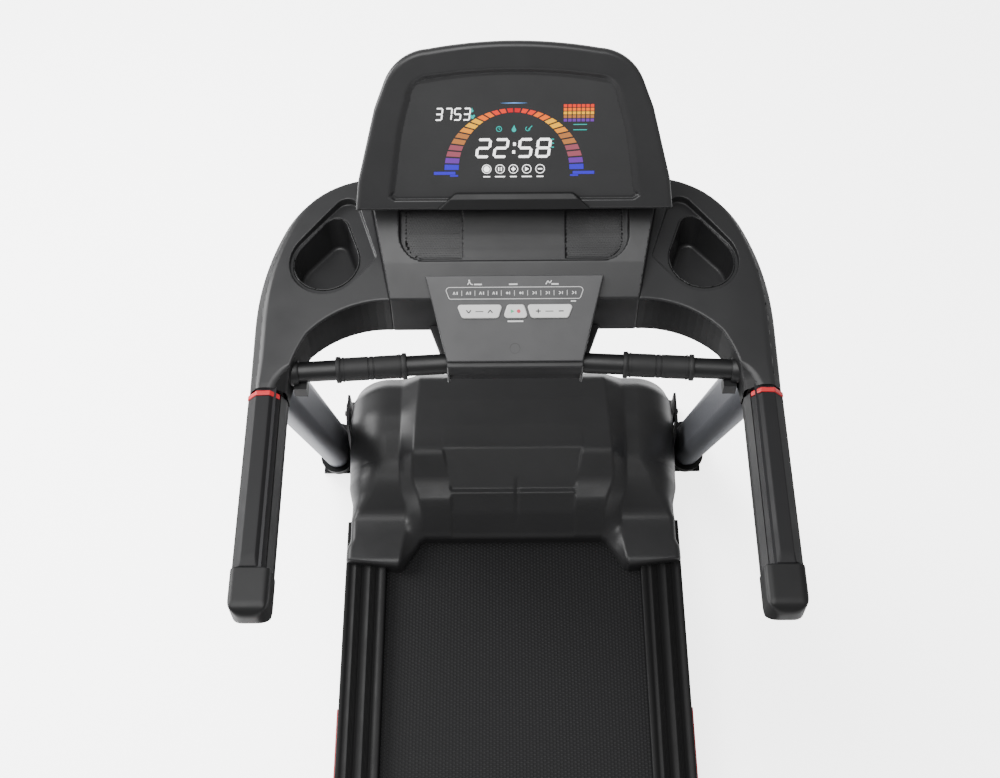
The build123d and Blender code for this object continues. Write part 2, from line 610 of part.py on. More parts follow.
HOOD_OUTER = hood_form(HOOD_HALF, HOOD_SIDE, HOOD_TOP, HOOD_CORNER)
HOOD_INNER = hood_form(HOOD_HALF - HOOD_WALL, HOOD_INSIDE, HOOD_TOP - HOOD_WALL,
                       HOOD_CORNER - HOOD_WALL)
with BuildPart() as motor_hood:
    add(HOOD_OUTER)
    add(HOOD_INNER, mode=Mode.SUBTRACT)
    with BuildSketch(across(-HOOD_HALF + HOOD_WALL)):
        with Locations((HINGE_Y - 236, 142)):
            Rectangle(12, 84)
    extrude(amount=2 * (HOOD_HALF - HOOD_WALL), mode=Mode.SUBTRACT)
    with BuildSketch(Plane.XZ.offset(-INLET_FRONT)):
        with Locations((INLET_X, INLET_Z)):
            Rectangle(INLET_WIDE - 2 * BEZEL_RIM, INLET_HIGH - 2 * BEZEL_RIM)
    extrude(amount=20, mode=Mode.SUBTRACT)
save(motor_hood, "motor_hood")

with BuildPart() as power_inlet:
    with BuildSketch(Plane.XZ.offset(-INLET_FRONT)):
        with Locations((INLET_X, INLET_Z)):
            RectangleRounded(INLET_WIDE, INLET_HIGH, 4)
    extrude(amount=BEZEL_FLANGE)
    with BuildSketch(Plane.XZ.offset(-INLET_FRONT + BEZEL_FLANGE)):
        with Locations((INLET_X, INLET_Z)):
            Rectangle(INLET_WIDE - 2 * BEZEL_RIM, INLET_HIGH - 2 * BEZEL_RIM)
    extrude(amount=24)
    with BuildSketch(Plane.XZ.offset(-INLET_FRONT)):
        with Locations((SOCKET_X, INLET_Z)):
            RectangleRounded(25, 19, 3)
    extrude(amount=18, mode=Mode.SUBTRACT)
    with BuildSketch(Plane.XZ.offset(-INLET_FRONT)):
        with Locations((SWITCH_X, INLET_Z)):
            Rectangle(2 * SWITCH_HALF_WIDE + 1, 2 * SWITCH_HALF_HIGH + 2)
    extrude(amount=14, mode=Mode.SUBTRACT)
    with BuildSketch(across(SWITCH_X - SWITCH_HALF_WIDE - 2)):
        with Locations((INLET_FRONT - SWITCH_AXIS_DEPTH, INLET_Z)):
            Circle(SWITCH_PIN_R)
    extrude(amount=2 * SWITCH_HALF_WIDE + 4)
    with BuildSketch(Plane.XZ.offset(-INLET_FRONT + 5)):
        with Locations(*[(SOCKET_X + x, INLET_Z + z) for x, z in ((-7, -2), (0, 3), (7, -2))]):
            Rectangle(2, 5)
    extrude(amount=13)
save(power_inlet, "power_inlet")

# The switch rests rocked to its off side.
SWITCH_AXIS = (SWITCH_X, INLET_FRONT - SWITCH_AXIS_DEPTH, INLET_Z)
SWITCH_PLANE = Plane(origin=SWITCH_AXIS, x_dir=(-1, 0, 0),
                     z_dir=(0, cos(radians(SWITCH_TILT)), sin(radians(SWITCH_TILT))))
with BuildPart() as power_switch:
    with BuildSketch(SWITCH_PLANE.offset(-4)):
        Rectangle(2 * SWITCH_HALF_WIDE, 2 * SWITCH_HALF_HIGH - 0.6)
    extrude(amount=9)
    with BuildSketch(across(SWITCH_X - 20)):
        with Locations((INLET_FRONT - SWITCH_AXIS_DEPTH, INLET_Z)):
            Circle(SWITCH_PIN_R + FIT)
    extrude(amount=40, mode=Mode.SUBTRACT)
save(power_switch, "power_switch")

PAN_WIDE, PAN_LONG, PAN_Y, PAN_T = 640.0, 140.0, 645.0, 2.5
with BuildPart() as belly_pan:
    with BuildSketch(Plane.XY.offset(MEMBER_Z0 - PAN_T)):
        with Locations((0, PAN_Y)):
            Rectangle(PAN_WIDE, PAN_LONG)
    extrude(amount=PAN_T)
save(belly_pan, "belly_pan")

MOTOR_Y, MOTOR_Z, MOTOR_R = 668.0, 150.0, 46.0
MOTOR_X0, MOTOR_X1 = -250.0, -75.0
SHAFT_R, MOTOR_WALL, MOTOR_END = 6.0, 6.0, 8.0
with BuildPart() as drive_motor:
    with BuildSketch(across(MOTOR_X0)):
        with Locations((MOTOR_Y, MOTOR_Z)):
            Circle(MOTOR_R)
    extrude(amount=MOTOR_X1 - MOTOR_X0)
    with BuildSketch(Plane.XY.offset(MEMBER_Z0 + CROSS_HEIGHT)):
        with Locations(((MOTOR_X0 + MOTOR_X1) / 2, 640)):
            Rectangle(150, 92)
    extrude(amount=18)
    with BuildSketch(across(MOTOR_X0 + MOTOR_END)):
        with Locations((MOTOR_Y, MOTOR_Z)):
            Circle(MOTOR_R - MOTOR_WALL)
    extrude(amount=MOTOR_X1 - MOTOR_X0 - 2 * MOTOR_END, mode=Mode.SUBTRACT)
    with BuildSketch(across(MOTOR_X0 - 1)):
        with Locations((MOTOR_Y, MOTOR_Z)):
            Circle(SHAFT_R + FIT)
    extrude(amount=MOTOR_X1 - MOTOR_X0 + 2, mode=Mode.SUBTRACT)
save(drive_motor, "drive_motor")

SHAFT, PULLEY = (-290, 222, SHAFT_R), (PULLEY_X0, PULLEY_X1 - PULLEY_X0, MOTOR_PULLEY_R)
FLYWHEEL, ARMATURE = (-266, 12, 42), (-230, 135, 34)
with BuildPart() as motor_rotor:
    for x, length, radius in (SHAFT, PULLEY, FLYWHEEL, ARMATURE):
        with BuildSketch(across(x)):
            with Locations((MOTOR_Y, MOTOR_Z)):
                Circle(radius)
        extrude(amount=length)
save(motor_rotor, "motor_rotor")

DRIVE_BELT_T = 2.5
with BuildPart() as drive_belt:
    with BuildSketch(across(PULLEY_X0 + 1)):
        loop_band([(FRONT_ROLLER_Y, ROLLER_Z, ROLLER_PULLEY_R),
                   (MOTOR_Y, MOTOR_Z, MOTOR_PULLEY_R)], BELT_GAP, DRIVE_BELT_T)
    extrude(amount=PULLEY_X1 - PULLEY_X0 - 2)
save(drive_belt, "drive_belt")

CONTROLLER_AT, CONTROLLER_WIDE, CONTROLLER_LONG = (230, 645), 90.0, 96.0
CONTROLLER_Z, CONTROLLER_BASE, CONTROLLER_HIGH = MEMBER_Z0 + CROSS_HEIGHT, 8.0, 42.0
FIN_PITCH, FIN_GAP, FIN_DEPTH, FIN_COUNT = 12.0, 5.0, 18.0, 8
with BuildPart() as motor_controller:
    with BuildSketch(Plane.XY.offset(CONTROLLER_Z)):
        with Locations(CONTROLLER_AT):
            Rectangle(110, 110)
    extrude(amount=CONTROLLER_BASE)
    with BuildSketch(Plane.XY.offset(CONTROLLER_Z)):
        with Locations(CONTROLLER_AT):
            Rectangle(CONTROLLER_WIDE, CONTROLLER_LONG)
    extrude(amount=CONTROLLER_HIGH)
    with BuildSketch(Plane.XY.offset(CONTROLLER_Z + CONTROLLER_HIGH)):
        with Locations(CONTROLLER_AT):
            with GridLocations(0, FIN_PITCH, 1, FIN_COUNT):
                Rectangle(CONTROLLER_WIDE, FIN_GAP)
    extrude(amount=-FIN_DEPTH, mode=Mode.SUBTRACT)
save(motor_controller, "motor_controller")


# ---------------------------------------------------------------- handrail

ARM_BEVEL, ARM_TOP_BEVEL_X, ARM_TOP_BEVEL_Z = 8.0, 12.0, 14.0


def arm_outline(side, grow=0.0):
    """The chamfered section of an arm in the XZ plane, as points."""
    x, half = side * ARM_X, ARM_WIDE / 2 + grow
    bottom, top = ARM_Z0 - grow, ARM_Z1 + grow
    halves = [(half - ARM_BEVEL, bottom), (half, bottom + ARM_BEVEL),
              (half, top - ARM_TOP_BEVEL_Z), (half - ARM_TOP_BEVEL_X, top)]
    return [(x + dx, z) for dx, z in halves] + [(x - dx, z) for dx, z in reversed(halves)]


def arm_bore(side):
    """The hole for the steel tube inside an arm."""
    with Locations((side * ARM_X, (ARM_Z0 + ARM_Z1) / 2)):
        Rectangle(ARM_TUBE_WIDE, ARM_TUBE_HIGH)


def arm_length(side, y0, y1, grow=0.0):
    """A hollow length of arm between two values of y."""
    with BuildPart() as length:
        with BuildSketch(Plane.XZ.offset(-y1)):
            with BuildLine():
                Polyline(*arm_outline(side, grow), close=True)
            make_face()
            with Locations((side * ARM_X, (ARM_Z0 + ARM_Z1) / 2)):
                Rectangle(ARM_TUBE_WIDE, ARM_TUBE_HIGH, mode=Mode.SUBTRACT)
        extrude(amount=y1 - y0)
    return length.part


for name, side in SIDES.items():
    arm_form = arm_length(side, ARM_CAP_Y, RING_Y0)
    with BuildPart() as arm_shell:
        add(arm_form)
    save(arm_shell, f"arm_shell_{name}")

CAP_R, CAP_GROW, RING_GROW = ARM_WIDE / 2 - 1, 1.0, 0.6
CAP_CENTRE_Y = ARM_TIP_Y + CAP_R
CAP_SLEEVES = {side: arm_length(side, CAP_CENTRE_Y, ARM_CAP_Y, grow=CAP_GROW)
               for side in SIDES.values()}
with BuildPart() as arm_end_caps:
    for side in SIDES.values():
        add(CAP_SLEEVES[side])
        with BuildSketch(Plane.XY.offset(ARM_Z0)):
            with Locations((side * ARM_X, CAP_CENTRE_Y)):
                Circle(CAP_R)
            with Locations((side * ARM_X, CAP_CENTRE_Y + 35)):
                Rectangle(70, 70, mode=Mode.SUBTRACT)
        extrude(amount=ARM_Z1 - ARM_Z0)
save(arm_end_caps, "arm_end_caps")

RING_SLEEVES = {side: arm_length(side, RING_Y0, RING_Y1, grow=RING_GROW)
                for side in SIDES.values()}
with BuildPart() as arm_rings:
    for side in SIDES.values():
        add(RING_SLEEVES[side])
        add(COLUMN_TOOLS[side], mode=Mode.SUBTRACT)
save(arm_rings, "arm_rings")

with BuildPart() as arm_tubes:
    for side in SIDES.values():
        with BuildSketch(Plane.XZ.offset(-ARM_TUBE_Y1)):
            arm_bore(side)
            with Locations((side * ARM_X, (ARM_Z0 + ARM_Z1) / 2)):
                Rectangle(ARM_TUBE_WIDE - 2 * ARM_TUBE_WALL, ARM_TUBE_HIGH - 2 * ARM_TUBE_WALL,
                          mode=Mode.SUBTRACT)
        extrude(amount=ARM_TUBE_Y1 - ARM_TUBE_Y0)
save(arm_tubes, "arm_tubes")

SEAM_FRONT, SEAM_REAR = (192.0, 467.0), (240.0, CONSOLE_REAR_Y)


def shoulder_outline(side):
    """Plan of a shoulder, from the arm round its outside to the console and back."""
    def at(x, y):
        return (side * x, y)
    Line(at(348.5, RING_Y1), at(405.5, RING_Y1))
    Line(at(405.5, RING_Y1), at(405.5, 470))
    ThreePointArc(at(405.5, 470), at(395, 548), at(371, 612))
    ThreePointArc(at(371, 612), at(318, 684), at(*SEAM_REAR))
    Line(at(*SEAM_REAR), at(*SEAM_FRONT))
    ThreePointArc(at(*SEAM_FRONT), at(265, 454), at(319, 416))
    ThreePointArc(at(319, 416), at(339, 374), at(348.5, RING_Y1))


def cup_outline(side):
    """Plan of the drop-shaped drink well."""
    def at(x, y):
        return (side * x, y)
    Line(at(301, 617), at(336, 575))
    ThreePointArc(at(336, 575), at(295, 488), at(245, 558.6))
    Line(at(245, 558.6), at(263.3, 610.3))
    ThreePointArc(at(263.3, 610.3), at(284, 625), at(301, 617))


CUP_FLOOR_Z = ARM_Z0 + ARM_WALL
for name, side in SIDES.items():
    with BuildPart() as shoulder_shell:
        with BuildSketch(Plane.XY.offset(SHOULDER_SPLIT_Z)) as shoulder_plan:
            with BuildLine():
                shoulder_outline(side)
            make_face()
        extrude(amount=SHOULDER_TOP - SHOULDER_SPLIT_Z)
        with BuildSketch(Plane.XY.offset(SHOULDER_SPLIT_Z)):
            add(shoulder_plan.sketch_local)
            offset(amount=-SHOULDER_WALL)
        extrude(amount=SHOULDER_TOP - SHOULDER_WALL - SHOULDER_SPLIT_Z, mode=Mode.SUBTRACT)
        with BuildSketch(Plane.XY.offset(SHOULDER_SPLIT_Z)):
            with BuildLine():
                cup_outline(side)
            make_face()
        extrude(amount=100, mode=Mode.SUBTRACT)
        with BuildSketch(Plane.XZ.offset(-RING_Y1 - 6)):
            arm_bore(side)
        extrude(amount=6, mode=Mode.SUBTRACT)
    save(shoulder_shell, f"shoulder_shell_{name}")

    with BuildPart() as shoulder_underside:
        with BuildSketch(Plane.XY.offset(ARM_Z0)) as under_plan:
            with BuildLine():
                shoulder_outline(side)
            make_face()
        extrude(amount=SHOULDER_SPLIT_Z - ARM_Z0)
        with BuildSketch(Plane.XY.offset(CUP_FLOOR_Z)):
            add(under_plan.sketch_local)
            offset(amount=-SHOULDER_WALL)
        extrude(amount=SHOULDER_SPLIT_Z - CUP_FLOOR_Z, mode=Mode.SUBTRACT)
        add(COLUMN_TOOLS[side], mode=Mode.SUBTRACT)
        with BuildSketch(Plane.XZ.offset(-RING_Y1 - 6)):
            arm_bore(side)
        extrude(amount=6, mode=Mode.SUBTRACT)
    save(shoulder_underside, f"shoulder_underside_{name}")

    with BuildPart() as cup_holder:
        with BuildSketch(Plane.XY.offset(CUP_FLOOR_Z)) as cup_plan:
            with BuildLine():
                cup_outline(side)
            make_face()
        extrude(amount=SHOULDER_TOP - CUP_FLOOR_Z)
        with BuildSketch(Plane.XY.offset(CUP_FLOOR_Z + CUP_FLOOR)):
            add(cup_plan.sketch_local)
            offset(amount=-CUP_WALL)
        extrude(amount=SHOULDER_TOP - CUP_FLOOR_Z, mode=Mode.SUBTRACT)
    save(cup_holder, f"cup_holder_{name}")


def bar_line(side):
    """Square to one half of the crossbar, starting at its middle."""
    direction = Vector(side * BAR_END[0], BAR_END[1] - BAR_MID_Y, 0)
    return Plane(origin=(0, BAR_MID_Y, BAR_Z), x_dir=(0, 0, 1), z_dir=direction)


with BuildPart() as shoulder_forms:
    for side in SIDES.values():
        with BuildSketch(Plane.XY.offset(900)):
            with BuildLine():
                shoulder_outline(side)
            make_face()
        extrude(amount=200)

BAR_LENGTH = hypot(BAR_END[0], BAR_END[1] - BAR_MID_Y)
with BuildPart() as crossbar:
    for side in SIDES.values():
        with BuildSketch(bar_line(side)):
            Circle(BAR_R)
        extrude(amount=BAR_LENGTH)
    with Locations((0, BAR_MID_Y, BAR_Z)):
        Sphere(BAR_R)
    for side in SIDES.values():
        with BuildSketch(bar_line(side)):
            Circle(BAR_R - BAR_WALL)
        extrude(amount=BAR_LENGTH, mode=Mode.SUBTRACT)
    add(shoulder_forms.part, mode=Mode.SUBTRACT)
save(crossbar, "crossbar")

with BuildPart() as bar_grips:
    for side in SIDES.values():
        with BuildSketch(bar_line(side).offset(GRIP_START)):
            Circle(GRIP_R)
            Circle(BAR_R, mode=Mode.SUBTRACT)
        extrude(amount=GRIP_END - GRIP_START)
save(bar_grips, "bar_grips")


# ---------------------------------------------------------------- keypad

KEY_S, KEY_HIGH = 77.5, 19.0           # place up the slope, and depth, of the rocker keys
KEYS = {"incline_key": (-53.5, 66.0), "start_stop_key": (1.5, 33.0), "speed_key": (54.0, 66.0)}
KEY_TOP, KEY_BOTTOM, POCKET_DEPTH = 2.4, -5.0, 10.0
KEY_GAP, KEY_PIN_R, KEY_PIN_DEPTH = 1.0, 1.5, 2.0
KEY_PIN_HALF = 13.0
BAR_FIT = 0.2


def key_pin_plane(x, half_length):
    """Square to a rocker key's pin, which runs up the slope, at the pin's lower end."""
    end = KEYPAD.from_local_coords((x, KEY_S - half_length, -KEY_PIN_DEPTH))
    return Plane(origin=end, x_dir=(1, 0, 0), z_dir=KEYPAD.y_dir)


with BuildPart() as keypad_housing:
    with BuildSketch(across(-150)):
        with BuildLine():
            Polyline((371, 1000), (488, 1064), (496, 1049), (492, 1044.8), (467, 1030),
                     (467, 996), (420, 976), (378, 974), (368, 988), close=True)
        make_face()
    extrude(amount=300)
    with BuildSketch(Plane.XY.offset(900)):
        with BuildLine():
            Polyline((-102, 366), (102, 366), (140, 496), (-140, 496), close=True)
        make_face()
    extrude(amount=300, mode=Mode.INTERSECT)
    with BuildSketch(across(-95)):
        with BuildLine():
            Polyline((424, 1008), (456, 1025.5), (456, 998), (430, 987), close=True)
        make_face()
    extrude(amount=190, mode=Mode.SUBTRACT)
    for side in SIDES.values():
        with BuildSketch(bar_line(side)):
            Circle(BAR_R + BAR_FIT)
        extrude(amount=BAR_LENGTH, mode=Mode.SUBTRACT)
    with Locations((0, BAR_MID_Y, BAR_Z)):
        Sphere(BAR_R + BAR_FIT, mode=Mode.SUBTRACT)
    for x, wide in KEYS.values():
        with BuildSketch(KEYPAD.offset(-POCKET_DEPTH)):
            with Locations((x, KEY_S)):
                Rectangle(wide + 2 * KEY_GAP, KEY_HIGH + 2 * KEY_GAP)
        extrude(amount=POCKET_DEPTH + 5, mode=Mode.SUBTRACT)
        with BuildSketch(key_pin_plane(x, KEY_PIN_HALF + 1)):
            Circle(KEY_PIN_R + FIT)
        extrude(amount=2 * KEY_PIN_HALF + 2, mode=Mode.SUBTRACT)
save(keypad_housing, "keypad_housing")

OVERLAY_T = 0.8
with BuildPart() as keypad_overlay:
    with BuildSketch(KEYPAD):
        with BuildLine():
            Polyline((-95, 8), (95, 8), (126, 126), (-126, 126), close=True)
        make_face()
        for x, wide in KEYS.values():
            with Locations((x, KEY_S)):
                Rectangle(wide + 2 * KEY_GAP, KEY_HIGH + 2 * KEY_GAP, mode=Mode.SUBTRACT)
    extrude(amount=OVERLAY_T)
save(keypad_overlay, "keypad_overlay")

for name, (x, wide) in KEYS.items():
    with BuildPart() as rocker_key:
        with BuildSketch(KEYPAD.offset(KEY_BOTTOM)):
            with Locations((x, KEY_S)):
                RectangleRounded(wide, KEY_HIGH, 3)
        extrude(amount=KEY_TOP - KEY_BOTTOM)
        with BuildSketch(key_pin_plane(x, KEY_PIN_HALF)):
            Circle(KEY_PIN_R)
        extrude(amount=2 * KEY_PIN_HALF)
    save(rocker_key, name)


# ---------------------------------------------------------------- console

def seam_x(y):
    """Half width of the console between the shoulders at a value of y."""
    part = (y - SEAM_FRONT[1]) / (SEAM_REAR[1] - SEAM_FRONT[1])
    return SEAM_FRONT[0] + part * (SEAM_REAR[0] - SEAM_FRONT[0])


def between_shoulders(y0, y1, inset=0.0):
    """The space between the two seams, from y0 to y1."""
    with BuildPart() as space:
        with BuildSketch(Plane.XY.offset(900)):
            with BuildLine():
                Polyline((-seam_x(y0) + inset, y0), (seam_x(y0) - inset, y0),
                         (seam_x(y1) - inset, y1), (-seam_x(y1) + inset, y1), close=True)
            make_face()
        extrude(amount=600)
    return space.part


NECK_FOOT, NECK_CROWN = (240.0, 1080.0), (163.0, 1240.0)      # half width and height


def neck_space(y0, y1, inset=0.0):
    """The space between the seams from y0 to y1, leaning in towards the neck's crown."""
    foot, crown = NECK_FOOT[0] - inset, NECK_CROWN[0] - inset
    with BuildPart() as space:
        with BuildSketch(Plane.XZ.offset(-y0)):
            with BuildLine():
                Polyline((-foot, 900), (foot, 900), (foot, NECK_FOOT[1]), (crown, NECK_CROWN[1]),
                         (-crown, NECK_CROWN[1]), (-foot, NECK_FOOT[1]), close=True)
            make_face()
        extrude(amount=y0 - y1)
        add(between_shoulders(y0, y1, inset), mode=Mode.INTERSECT)
    return space.part


CONSOLE_FRONT_Y, APRON_Y, APRON_Z, DECK_REAR_Z = SEAM_FRONT[1], 516.0, 1058.0, 1092.0
TRAY = [(CONSOLE_FRONT_Y, CONSOLE_Z0), (CONSOLE_FRONT_Y, 1030), (APRON_Y, APRON_Z),
        (CONSOLE_SPLIT_Y, DECK_REAR_Z), (CONSOLE_SPLIT_Y, CONSOLE_Z0)]
GRILLE = tilted(APRON_Y, APRON_Z,
                degrees(atan2(DECK_REAR_Z - APRON_Z, CONSOLE_SPLIT_Y - APRON_Y)))
GRILLE_AT = [(side * 123.0, 50.0) for side in SIDES.values()]
GRILLE_WIDE, GRILLE_LONG, GRILLE_CORNER, GRILLE_T = 84.0, 70.0, 8.0, 2.0
HOLE_PITCH, HOLE_COUNT, HOLE_R = 10.0, 5, 3.0
CONE, MAGNET = (-12, 7.4, 31), (-30, 18, 20)     # depth, length and radius
TRAY_SPACE = between_shoulders(CONSOLE_FRONT_Y, CONSOLE_SPLIT_Y)
TRAY_INNER_SPACE = between_shoulders(CONSOLE_FRONT_Y + CONSOLE_WALL, CONSOLE_SPLIT_Y + 1,
                                     inset=CONSOLE_WALL)
NECK_SPACE = neck_space(CONSOLE_SPLIT_Y, CONSOLE_REAR_Y)
NECK_INNER_SPACE = neck_space(CONSOLE_SPLIT_Y - 1, CONSOLE_REAR_Y - 3, inset=CONSOLE_WALL)
with BuildPart() as tray_inside:
    with BuildSketch(across(-300)):
        with BuildLine():
            Polyline((471, CONSOLE_Z0 + 4), (471, 1027.7), (517, 1053.9), (605, 1087.7),
                     (605, CONSOLE_Z0 + 4), close=True)
        make_face()
    extrude(amount=600)
    add(TRAY_INNER_SPACE, mode=Mode.INTERSECT)

with BuildPart() as console_tray:
    with BuildSketch(across(-300)):
        with BuildLine():
            Polyline(*TRAY, close=True)
        make_face()
    extrude(amount=600)
    add(TRAY_SPACE, mode=Mode.INTERSECT)
    add(tray_inside.part, mode=Mode.SUBTRACT)
    with BuildSketch(GRILLE.offset(-GRILLE_T)):
        with Locations(*GRILLE_AT):
            RectangleRounded(GRILLE_WIDE, GRILLE_LONG, GRILLE_CORNER)
    extrude(amount=GRILLE_T + 4, mode=Mode.SUBTRACT)
    with BuildSketch(GRILLE.offset(-20)):
        with Locations(*GRILLE_AT):
            Circle(CONE[2] - 3)
    extrude(amount=30, mode=Mode.SUBTRACT)
save(console_tray, "console_tray")

with BuildPart() as speaker_grilles:
    with BuildSketch(GRILLE.offset(-GRILLE_T)):
        with Locations(*GRILLE_AT):
            RectangleRounded(GRILLE_WIDE, GRILLE_LONG, GRILLE_CORNER)
            with GridLocations(HOLE_PITCH, HOLE_PITCH, HOLE_COUNT, HOLE_COUNT):
                Circle(HOLE_R, mode=Mode.SUBTRACT)
    extrude(amount=GRILLE_T)
save(speaker_grilles, "speaker_grilles")

with BuildPart() as speaker_drivers:
    for depth, length, radius in (CONE, MAGNET):
        with BuildSketch(GRILLE.offset(depth)):
            with Locations(*GRILLE_AT):
                Circle(radius)
        extrude(amount=length)
save(speaker_drivers, "speaker_drivers")


def head_outline():
    """The display head's outline in its own plane, wide below and rounded above."""
    Polyline((-180, 198), (-206, 143), (-234, 36), (-240, -12), (240, -12), (234, 36), (206, 143),
             (180, 198))
    ThreePointArc((180, 198), (158, 221), (125, 231))
    ThreePointArc((125, 231), (0, 240), (-125, 231))
    ThreePointArc((-125, 231), (-158, 221), (-180, 198))


def window_outline():
    """The display window's outline: a trapezoid with rounded corners."""
    Polyline((-186, 10), (186, 10), (150, 186), (-150, 186), close=True)


with BuildPart() as display_bezel:
    with BuildSketch(DISPLAY.offset(-BEZEL_T)) as head_plan:
        with BuildLine():
            head_outline()
        make_face()
    extrude(amount=BEZEL_T)
    with BuildSketch(DISPLAY.offset(-BEZEL_T)):
        add(head_plan.sketch_local)
        offset(amount=-BEZEL_WALL)
    extrude(amount=BEZEL_T - BEZEL_FACE, mode=Mode.SUBTRACT)
    with BuildSketch(DISPLAY.offset(-BEZEL_T)) as window_plan:
        with BuildLine():
            window_outline()
        make_face()
        fillet(window_plan.vertices(), WINDOW_CORNER)
    extrude(amount=BEZEL_T, mode=Mode.SUBTRACT)
save(display_bezel, "display_bezel")

with BuildPart() as display_lens:
    with BuildSketch(DISPLAY.offset(-LENS_DEPTH)) as lens_plan:
        with BuildLine():
            window_outline()
        make_face()
        fillet(lens_plan.vertices(), WINDOW_CORNER)
    extrude(amount=LENS_T)
save(display_lens, "display_lens")

with BuildPart() as display_board:
    with BuildSketch(DISPLAY.offset(-LENS_DEPTH - LENS_T)):
        with BuildLine():
            Polyline((-182, 14), (182, 14), (147, 182), (-147, 182), close=True)
        make_face()
    extrude(amount=1.6)
save(display_board, "display_board")

with BuildPart() as head_back:
    with BuildSketch(DISPLAY.offset(-HEAD_T)):
        with BuildLine():
            head_outline()
        make_face()
    extrude(amount=HEAD_T - BEZEL_T)

with BuildPart() as head_hollow:
    with BuildSketch(DISPLAY.offset(-HEAD_T + CONSOLE_WALL)):
        with BuildLine():
            head_outline()
        make_face()
        offset(amount=-CONSOLE_WALL)
    extrude(amount=HEAD_T - BEZEL_T)

with BuildPart() as neck_hollow:
    with BuildSketch(across(-300)):
        with BuildLine():
            Polyline((603, 947), (603, 1088), (608, 1088), (608, 1131), (664, 1213), (686, 1204),
                     (704, 1119), (704, 947), close=True)
        make_face()
    extrude(amount=600)
    add(NECK_INNER_SPACE, mode=Mode.INTERSECT)

with BuildPart() as console_rear_cover:
    with BuildSketch(across(-300)):
        with BuildLine():
            Polyline((CONSOLE_SPLIT_Y, CONSOLE_Z0), (CONSOLE_SPLIT_Y, 1136), (664, 1225),
                     (690, 1210), (CONSOLE_REAR_Y, 1120), (CONSOLE_REAR_Y, CONSOLE_Z0), close=True)
        make_face()
    extrude(amount=600)
    add(NECK_SPACE, mode=Mode.INTERSECT)
    add(head_back.part)
    add(head_hollow.part, mode=Mode.SUBTRACT)
    add(neck_hollow.part, mode=Mode.SUBTRACT)
save(console_rear_cover, "console_rear_cover")
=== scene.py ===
"""Looks of a folding treadmill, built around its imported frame.

Lengths in this script are millimetres; piece() and the lights turn them into metres.
X is to the user's right, Y is forward to the console, Z is up.
"""
from itertools import product
from math import atan2, cos, hypot, pi, radians, sin

import bmesh
import bpy
import numpy as np
from mathutils import Matrix, Vector


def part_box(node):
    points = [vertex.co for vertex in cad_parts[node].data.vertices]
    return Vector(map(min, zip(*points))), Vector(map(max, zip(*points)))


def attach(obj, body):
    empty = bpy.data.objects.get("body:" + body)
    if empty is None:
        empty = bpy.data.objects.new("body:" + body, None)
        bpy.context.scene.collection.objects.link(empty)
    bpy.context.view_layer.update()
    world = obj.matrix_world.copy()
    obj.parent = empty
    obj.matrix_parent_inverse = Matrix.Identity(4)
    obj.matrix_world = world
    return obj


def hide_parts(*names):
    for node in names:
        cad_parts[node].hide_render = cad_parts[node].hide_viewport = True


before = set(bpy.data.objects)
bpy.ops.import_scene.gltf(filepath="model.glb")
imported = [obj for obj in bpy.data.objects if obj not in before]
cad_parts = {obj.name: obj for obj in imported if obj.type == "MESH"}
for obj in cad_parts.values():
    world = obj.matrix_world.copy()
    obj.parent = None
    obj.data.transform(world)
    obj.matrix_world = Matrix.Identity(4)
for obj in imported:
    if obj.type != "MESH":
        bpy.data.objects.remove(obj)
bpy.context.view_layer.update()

MM = 0.001
SIDES = {"left": -1, "right": 1}


def corners(node):
    """Lowest and highest corner of a CAD node, in millimetres."""
    low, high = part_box(node)
    return Vector(low) / MM, Vector(high) / MM


# ---- shader helpers

